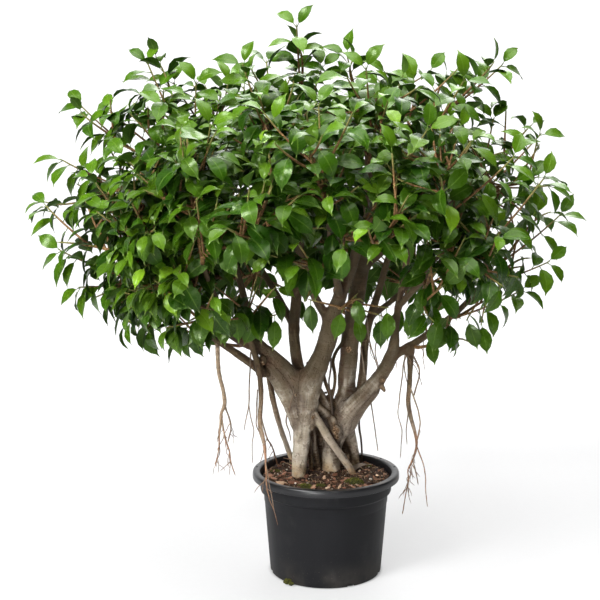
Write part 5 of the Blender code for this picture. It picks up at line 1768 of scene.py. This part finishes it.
def pot_finish():
    """Black moulded plastic: satin, faintly drawn upwards, dusty at the foot and scuffed."""
    f = Finish("black nursery plastic", 0.42)
    here = f.here()
    place = here.parts()
    z = place[2]
    drawn = f.drawn(place, 90.0, 5.0)
    cloud = f.noise(here, 11.0, 4.0, 0.6)
    speck = f.noise(here, 330.0, 2.0, 0.6)
    foot = z.span(0.0, 0.055, 1.0, 0.0) * cloud.span(0.38, 0.62)
    smudge = f.drawn(place, 16.0, 9.0, 5.0, 0.62).span(0.57, 0.70)
    grit = speck.span(0.66, 0.74) * z.span(0.00, 0.10, 0.35, 0.02)
    flat = f.wire("ShaderNodeNewGeometry", output=1).parts()[2].span(0.75, 0.98)
    soil_dust = flat * z.span(0.18, 0.19) * f.noise(here, 60.0, 3.0).span(0.50, 0.66)
    base = f.mix(drawn * 0.5 + cloud * 0.5, (0.0055, 0.0056, 0.0064), (0.0125, 0.0127, 0.0143))
    f.set("Base Color", f.coats(base, [
        (foot * 0.24, (0.120, 0.106, 0.088)),
        (smudge * 0.05, (0.200, 0.195, 0.185)),
        (grit, (0.190, 0.160, 0.120)),
        (soil_dust * 0.30, (0.120, 0.080, 0.050))]))
    f.set("Roughness", drawn * 0.18 + smudge * 0.14 + foot * 0.22 + z.span(0.172, 0.184, 0.38, 0.26))
    f.set("Specular IOR Level", z.span(0.172, 0.184, 0.11, 0.36))
    f.relief(drawn * 0.8 + speck * 0.25 + cloud * 0.6, 0.0005, 0.35)
    return f.material


def soil_height(x, y):
    mound = 0.0035 * math.exp(-((x - 0.01) ** 2 + (y - 0.03) ** 2) / 0.004)
    return SOIL_LEVEL + mound + 0.0012 * math.sin(61 * x + 1.0) * math.cos(53 * y)


def soil_mesh():
    """The soil as a closed plug: a fine top, a side just off the pot's wall and an underside."""
    profile = [(0.0, 0.0078), (0.1040, 0.0080), (0.1160, 0.1560), (0.1222, 0.1600), (SOIL_REACH, 0.1755)]
    rings = [SOIL_REACH * (1.0 - k / SOIL_RINGS) for k in range(1, SOIL_RINGS)]
    profile += [(radius, SOIL_LEVEL) for radius in rings] + [(0.0, SOIL_LEVEL)]
    points, faces = turned(profile, SOIL_TURNS)
    shaped = []
    for x, y, z in points:
        edge = clamp((SOIL_REACH - math.hypot(x, y)) / 0.012)
        top = 0.0 if z < 0.176 else 1.0
        shaped.append((x, y, z + top * edge * (soil_height(x, y) - SOIL_LEVEL)))
    mesh = plain_mesh("soil bed", shaped, faces)
    paint(mesh, "soil_top", [1.0 if z > 0.179 else 0.0 for x, y, z in shaped])
    return mesh


def soil_tree():
    """Crumbles the top of the soil."""
    g = Growth("soil crumble", soil_finish="Material", clod_height=0.0042, clod_size=0.011)
    one = g.given("clod_size").work("POWER", -1.0)
    clods = g.noise(g.geo("InputPosition") * one, 1.0, 4.0, 0.7) - 0.45
    offset = g.vector(0.0, 0.0, 1.0) * (clods * g.given("clod_height") * g.named("soil_top") * 2.0)
    return g.end(g.moved(g.given(), offset), ("soil_finish",))


def soil_finish():
    f = Finish("dark potting soil", 0.93)
    here = f.here()
    crumb = f.noise(here, 420.0, 4.0, 0.7)
    patch = f.noise(here, 45.0, 3.0)
    earth = f.ramp(crumb * 0.7 + patch * 0.3, [
        (0.32, (0.012, 0.007, 0.004)), (0.48, (0.036, 0.020, 0.011)),
        (0.60, (0.085, 0.045, 0.022)), (0.74, (0.190, 0.110, 0.060))])
    f.set("Base Color", earth)
    f.set("Specular IOR Level", 0.2)
    f.relief(crumb, 0.0018, 1.0)
    return f.material


def ball(cuts, place):
    """The points and faces of a fine ball, each of its points put where a rule says."""
    shape = bmesh.new()
    bmesh.ops.create_icosphere(shape, subdivisions=cuts, radius=1.0)
    shape.verts.index_update()
    points = [tuple(Vector(place(*point.co))) for point in shape.verts]
    faces = [tuple(corner.index for corner in face.verts) for face in shape.faces]
    shape.free()
    return points, faces


def chunk(size, seed, cuts=1):
    """A rough lump of bark or stone with few faces."""
    draw = np.random.default_rng(seed)

    def place(*spot):
        square = max(abs(c) for c in spot)
        return [c / square**0.55 * s * draw.uniform(0.78, 1.15) for c, s in zip(spot, size)]

    return ball(cuts, place)


def bits_tree():
    """Strews bark chips, crumbs and grains over the soil."""
    g = Growth("soil bits", first_bit="Object", second_bit="Object", third_bit="Object",
               bit_finish="Material", bits_per_square_metre=9000.0, closest=0.003,
               smallest=0.5, largest=1.3, lift=0.0006, seed=SEED)
    flat = g.geo("InputNormal").parts()[2].work("GREATER_THAN", 0.45)
    top = g.named("soil_top").work("GREATER_THAN", 0.6)
    seed = g.given("seed")
    spread = g.node("GeometryNodeDistributePointsOnFaces", {
        "Mesh": g.given(), "Selection": flat * top, "Distance Min": g.given("closest"),
        "Density Max": g.given("bits_per_square_metre"), "Seed": seed}, distribute_method="POISSON")
    choices = g.joined(*(g.geo("ObjectInfo", 4, Object=g.given(key), As_Instance=True) for key in BIT_INPUTS))
    size = g.chance(0.0, 1.0, seed, 1)
    size = g.given("smallest") + (g.given("largest") - g.given("smallest")) * size * size
    turn = g.vector(g.chance(-0.55, 0.55, seed, 2), g.chance(-0.55, 0.55, seed, 3),
                    g.chance(0.0, 6.28, seed, 4))
    pick = g.wire("FunctionNodeRandomValue", {4: 0, 5: 2, 8: seed}, 2, data_type="INT")
    bits = g.geo("InstanceOnPoints", Points=Wire(g, spread.outputs[0]), Instance=choices, Pick_Instance=True,
                 Instance_Index=pick, Rotation=turn, Scale=g.vector(size, size, size))
    bits = g.store(bits, "bit_tone", g.chance(0.0, 1.0, seed, 5), domain="INSTANCE")
    bits = g.geo("RealizeInstances", Geometry=bits)
    bits = g.geo("SetPosition", Geometry=bits, Offset=g.vector(0.0, 0.0, g.given("lift")))
    return g.end(bits, ("bit_finish",))


def bits_finish(name, stops):
    """Dry bits in many tones."""
    f = Finish(name, 0.85)
    here = f.here()
    tone = f.painted("bit_tone", 2)
    grain = f.noise(here, 300.0, 3.0, 0.65)
    f.set("Base Color", f.ramp(tone * 0.72 + grain * 0.28, stops))
    f.relief(grain, 0.0010, 0.9)
    return f.material


def moss_mesh(x, y, width, depth, height, seed, floor=None):
    """A low cushion of moss that sits in the soil."""
    wobble = np.random.default_rng(seed).uniform(0.0, 6.28, 6)
    base = soil_height(x * MM, y * MM) - 0.0008 if floor is None else floor

    def place(a, b, c):
        angle = math.atan2(b, a)
        edge = 1.0 + 0.20 * math.sin(2 * angle + wobble[0]) + 0.14 * math.sin(5 * angle + wobble[1])
        bumps = 1.0 + 0.22 * math.sin(6 * a + wobble[2]) * math.sin(7 * b + wobble[3])
        return x * MM + a * width * MM * edge, y * MM + b * depth * MM * edge, base + c * height * MM * bumps

    return ball(3, place)


def moss_tree():
    """Covers a cushion with short pointed shoots."""
    g = Growth("moss shoots", moss_finish="Material", shoots_per_square_metre=900000.0,
               shoot_height=0.0022, shoot_width=0.00038, seed=SEED)
    up = g.geo("InputNormal").parts()[2].work("GREATER_THAN", -0.05)
    seed = g.given("seed")
    spread = g.node("GeometryNodeDistributePointsOnFaces", {
        "Mesh": g.given(), "Selection": up, "Density": g.given("shoots_per_square_metre"), "Seed": seed})
    cone = g.geo("MeshCone", Vertices=3, Radius_Top=0.0, Radius_Bottom=g.given("shoot_width"),
                 Depth=g.given("shoot_height"))
    size = g.chance(0.55, 1.35, seed, 1)
    lean = g.vector(g.chance(-0.7, 0.7, seed, 2), g.chance(-0.7, 0.7, seed, 3), 0.0)
    turn = g.wire("FunctionNodeRotateRotation", {
        "Rotation": Wire(g, spread.outputs[2]), "Rotate By": lean})
    shoots = g.geo("InstanceOnPoints", Points=Wire(g, spread.outputs[0]), Instance=cone, Rotation=turn,
                   Scale=g.vector(size, size, size))
    shoots = g.store(shoots, "bit_tone", g.chance(0.0, 1.0, seed, 4), domain="INSTANCE")
    return g.end(g.joined(g.geo("SetShadeSmooth", Geometry=g.given()), shoots), ("moss_finish",))


def moss_finish():
    f = Finish("olive moss", 0.9)
    tone = f.painted("bit_tone", 2)
    grain = f.noise(f.here(), 150.0, 3.0)
    f.set("Base Color", f.ramp(tone * 0.6 + grain * 0.4, [
        (0.20, (0.026, 0.028, 0.002)), (0.50, (0.082, 0.086, 0.005)), (0.80, (0.190, 0.180, 0.014))]))
    f.relief(grain, 0.0008, 0.8)
    return f.material


def build_litter():
    """Large flakes and fallen leaves that lie loose on the soil."""
    flakes = []
    tones = []
    draw = np.random.default_rng(SEED * 3)
    for x, y, turn, length, width, tone in LOOSE_FLAKES:
        points, faces = chunk((length * MM / 2.2, width * MM / 2.2, 0.0013), len(tones), cuts=2)
        tilt = Euler((draw.uniform(-0.35, 0.35), draw.uniform(-0.35, 0.35), math.radians(turn))).to_matrix()
        middle = Vector((x * MM, y * MM, soil_height(x * MM, y * MM) + 0.0034))
        flakes.append(([tilt @ Vector(corner) + middle for corner in points], faces))
        tones += [tone] * len(points)
    mesh = plain_mesh("flakes", *gathered(flakes))
    paint(mesh, "bit_tone", tones)
    finish = bits_finish("loose bark flakes", [
        (0.20, (0.050, 0.022, 0.013)), (0.42, (0.200, 0.080, 0.045)), (0.58, (0.420, 0.200, 0.125)),
        (0.72, (0.600, 0.440, 0.300)), (0.84, (0.780, 0.730, 0.640))])
    fit(shown("loose_flakes", mesh, finish), "soil", "soil")
    leaves = []
    for x, y, turn, size, dry in FALLEN_LEAVES:
        leaves.append({
            "point": np.array((x * MM, y * MM, soil_height(x * MM, y * MM) + 0.009)),
            "forward": round_way(turn), "normal": UP,
            "length": LEAF_LENGTH * size, "arch": 0.9, "fold": 0.7, "look": (dry, 0.0, 0.0)})
    pattern = shown("fallen leaf pattern", blade_pattern())
    fallen = spray_tree().grow("fallen_leaves", leaf_points("fallen leaves", leaves), keep=("blade_look",),
                               leaf_pattern=pattern, leaf_finish=dry_leaf_finish(), twig_finish=finish)
    discard(pattern)
    fit(fallen, "soil", "soil")


def dry_leaf_finish():
    f = Finish("dry fallen leaf", 0.8)
    here = f.here()
    tone = f.painted("blade_look").parts()[0]
    blotch = f.noise(here, 160.0, 4.0, 0.65)
    grey = f.mix(blotch, (0.120, 0.095, 0.070), (0.360, 0.310, 0.245))
    brown = f.mix(blotch, (0.110, 0.045, 0.022), (0.400, 0.200, 0.110))
    f.set("Base Color", f.mix(tone, grey, brown))
    f.relief(blotch, 0.0008, 0.8)
    return f.material


def build_soil():
    """The soil bed with what lies on it."""
    bed = soil_tree().grow("soil_bed", soil_mesh(), keep=("soil_top",), soil_finish=soil_finish())
    tree = bits_tree()
    for number, (name, finish, stops, sizes, density, closest, small, large) in enumerate(SOIL_LAYERS):
        shapes = [chunk(size, 3 * number + k + 1) for k, size in enumerate(sizes)]
        bits = {key: shown(key, plain_mesh(key, *shape)) for key, shape in zip(BIT_INPUTS, shapes)}
        piece = tree.grow(name, bed.data.copy(), keep=("bit_tone",), bit_finish=bits_finish(finish, stops),
                          bits_per_square_metre=density, closest=closest, smallest=small, largest=large,
                          seed=SEED + number + 1, **bits)
        fit(piece, "soil", "soil")
        for bit in bits.values():
            discard(bit)
    fit(bed, "soil", "soil")
    build_litter()
    moss = moss_finish()
    grown = moss_tree()
    cushions = [moss_mesh(*row, seed) for seed, row in enumerate(MOSS_CUSHIONS)]
    notch = [moss_mesh(*row) for row in NOTCH_MOSS]
    for name, balls_of_moss, nodes in (("moss_cushions", cushions, ["soil"]), ("moss_at_notch", notch, [])):
        base = plain_mesh(name + " base", *gathered(balls_of_moss))
        fit(grown.grow(name, base, keep=("bit_tone",), moss_finish=moss), "soil", *nodes)


# Lamps: name, place, what it points at, width, power and spread in degrees
LAMPS = [
    ("key", (-1.9, -2.1, 2.7), (0.0, 0.0, 0.50), 1.3, 175.0, 180.0),
    ("top", (0.3, -0.6, 3.4), (0.0, 0.0, 0.60), 3.0, 150.0, 180.0),
    ("front", (-1.3, -3.1, 1.1), (0.0, 0.0, 0.30), 1.0, 27.0, 180.0),
    ("low", (-1.0, -3.0, 0.55), (0.0, 0.0, 0.35), 0.8, 1.2, 20.0),
    ("back", (0.4, 2.4, 3.3), (0.0, 0.0, 0.90), 2.8, 22.0, 70.0),
]
ROOM_STRENGTH = 0.025
CAMERA_PLACE = (-0.0494, -1.9, 0.75)
CAMERA_TILT = 0.12
CAMERA_LENS = 61.18
CAMERA_SENSOR = 36.0


def studio_finish():
    f = Finish("pale studio paper", 0.9)
    grain = f.noise(f.here(), 90.0, 3.0)
    f.set("Base Color", f.mix(grain, (0.29, 0.29, 0.292), (0.31, 0.31, 0.312)))
    f.set("Specular IOR Level", 0.1)
    x, y, _ = f.here().parts()
    # The paper glows, more towards the back and not under the pot, and so lights the plant from behind and
    # below
    under_pot = (x * x + y * y).span(0.0096, 0.0128)
    f.set("Emission Color", (1.0, 1.0, 1.0))
    # Painted shadow: less glow on the floor to the right of the pot paints a broad soft shadow there
    shadow_side = x.span(0.10, 0.45, 0.0, 0.08) * y.span(0.75, 1.2, 1.0, 0.0)
    glow = y.span(-0.1, 0.7, 0.50, 0.59) + y.span(0.7, 2.2, 0.0, 0.30) - shadow_side
    f.set("Emission Strength", glow * under_pot)
    f.relief(grain, 0.0004, 0.2)
    return f.material


def build_stage():
    """A pale sheet of paper that runs back and curves up behind the plant."""
    line = [(y, 0.0) for y in np.linspace(-5.0, 3.0, 5)]
    line += [(3.0 + 1.5 * math.sin(a), 1.5 - 1.5 * math.cos(a)) for a in np.linspace(0.1, math.pi / 2, 14)]
    line += [(4.5, 5.0)]
    points = [(x, y, z) for y, z in line for x in (-6.0, 6.0)]
    faces = [(2 * k, 2 * k + 1, 2 * k + 3, 2 * k + 2) for k in range(len(line) - 1)]
    paper = shown("studio_paper", plain_mesh("studio_paper", points, faces), studio_finish())
    paper.data.shade_smooth()


def build_lights():
    """Soft studio light: a high key from the left, a top light, a weak front light, a dim room."""
    for name, place, aim, size, power, spread in LAMPS:
        light = bpy.data.lights.new(name, "AREA")
        light.shape = "DISK"
        light.size = size
        light.energy = power
        light.spread = math.radians(spread)
        lamp = in_scene(bpy.data.objects.new(name, light))
        lamp.location = place
        lamp.rotation_euler = (Vector(aim) - Vector(place)).to_track_quat("-Z", "Y").to_euler()
    world = bpy.data.worlds.new("dim room")
    world.use_nodes = True
    room_light = world.node_tree.nodes["Background"].inputs
    room_light["Color"].default_value = (1.0, 1.0, 1.0, 1.0)
    room_light["Strength"].default_value = ROOM_STRENGTH
    bpy.context.scene.world = world


def build_camera():
    """The photograph's view: from the front, a little left of the plant's middle and looking down."""
    camera = bpy.data.cameras.new("front view")
    camera.sensor_width = CAMERA_SENSOR
    camera.lens = CAMERA_LENS
    eye = in_scene(bpy.data.objects.new("front view", camera))
    eye.location = CAMERA_PLACE
    eye.rotation_euler = (math.pi / 2 - CAMERA_TILT, 0.0, 0.0)
    bpy.context.scene.camera = eye


def main():
    build_camera()
    build_stage()
    build_lights()
    build_pot()
    build_soil()
    build_trunk()
    build_crown()
    bpy.context.scene.view_settings.view_transform = "Standard"


main()
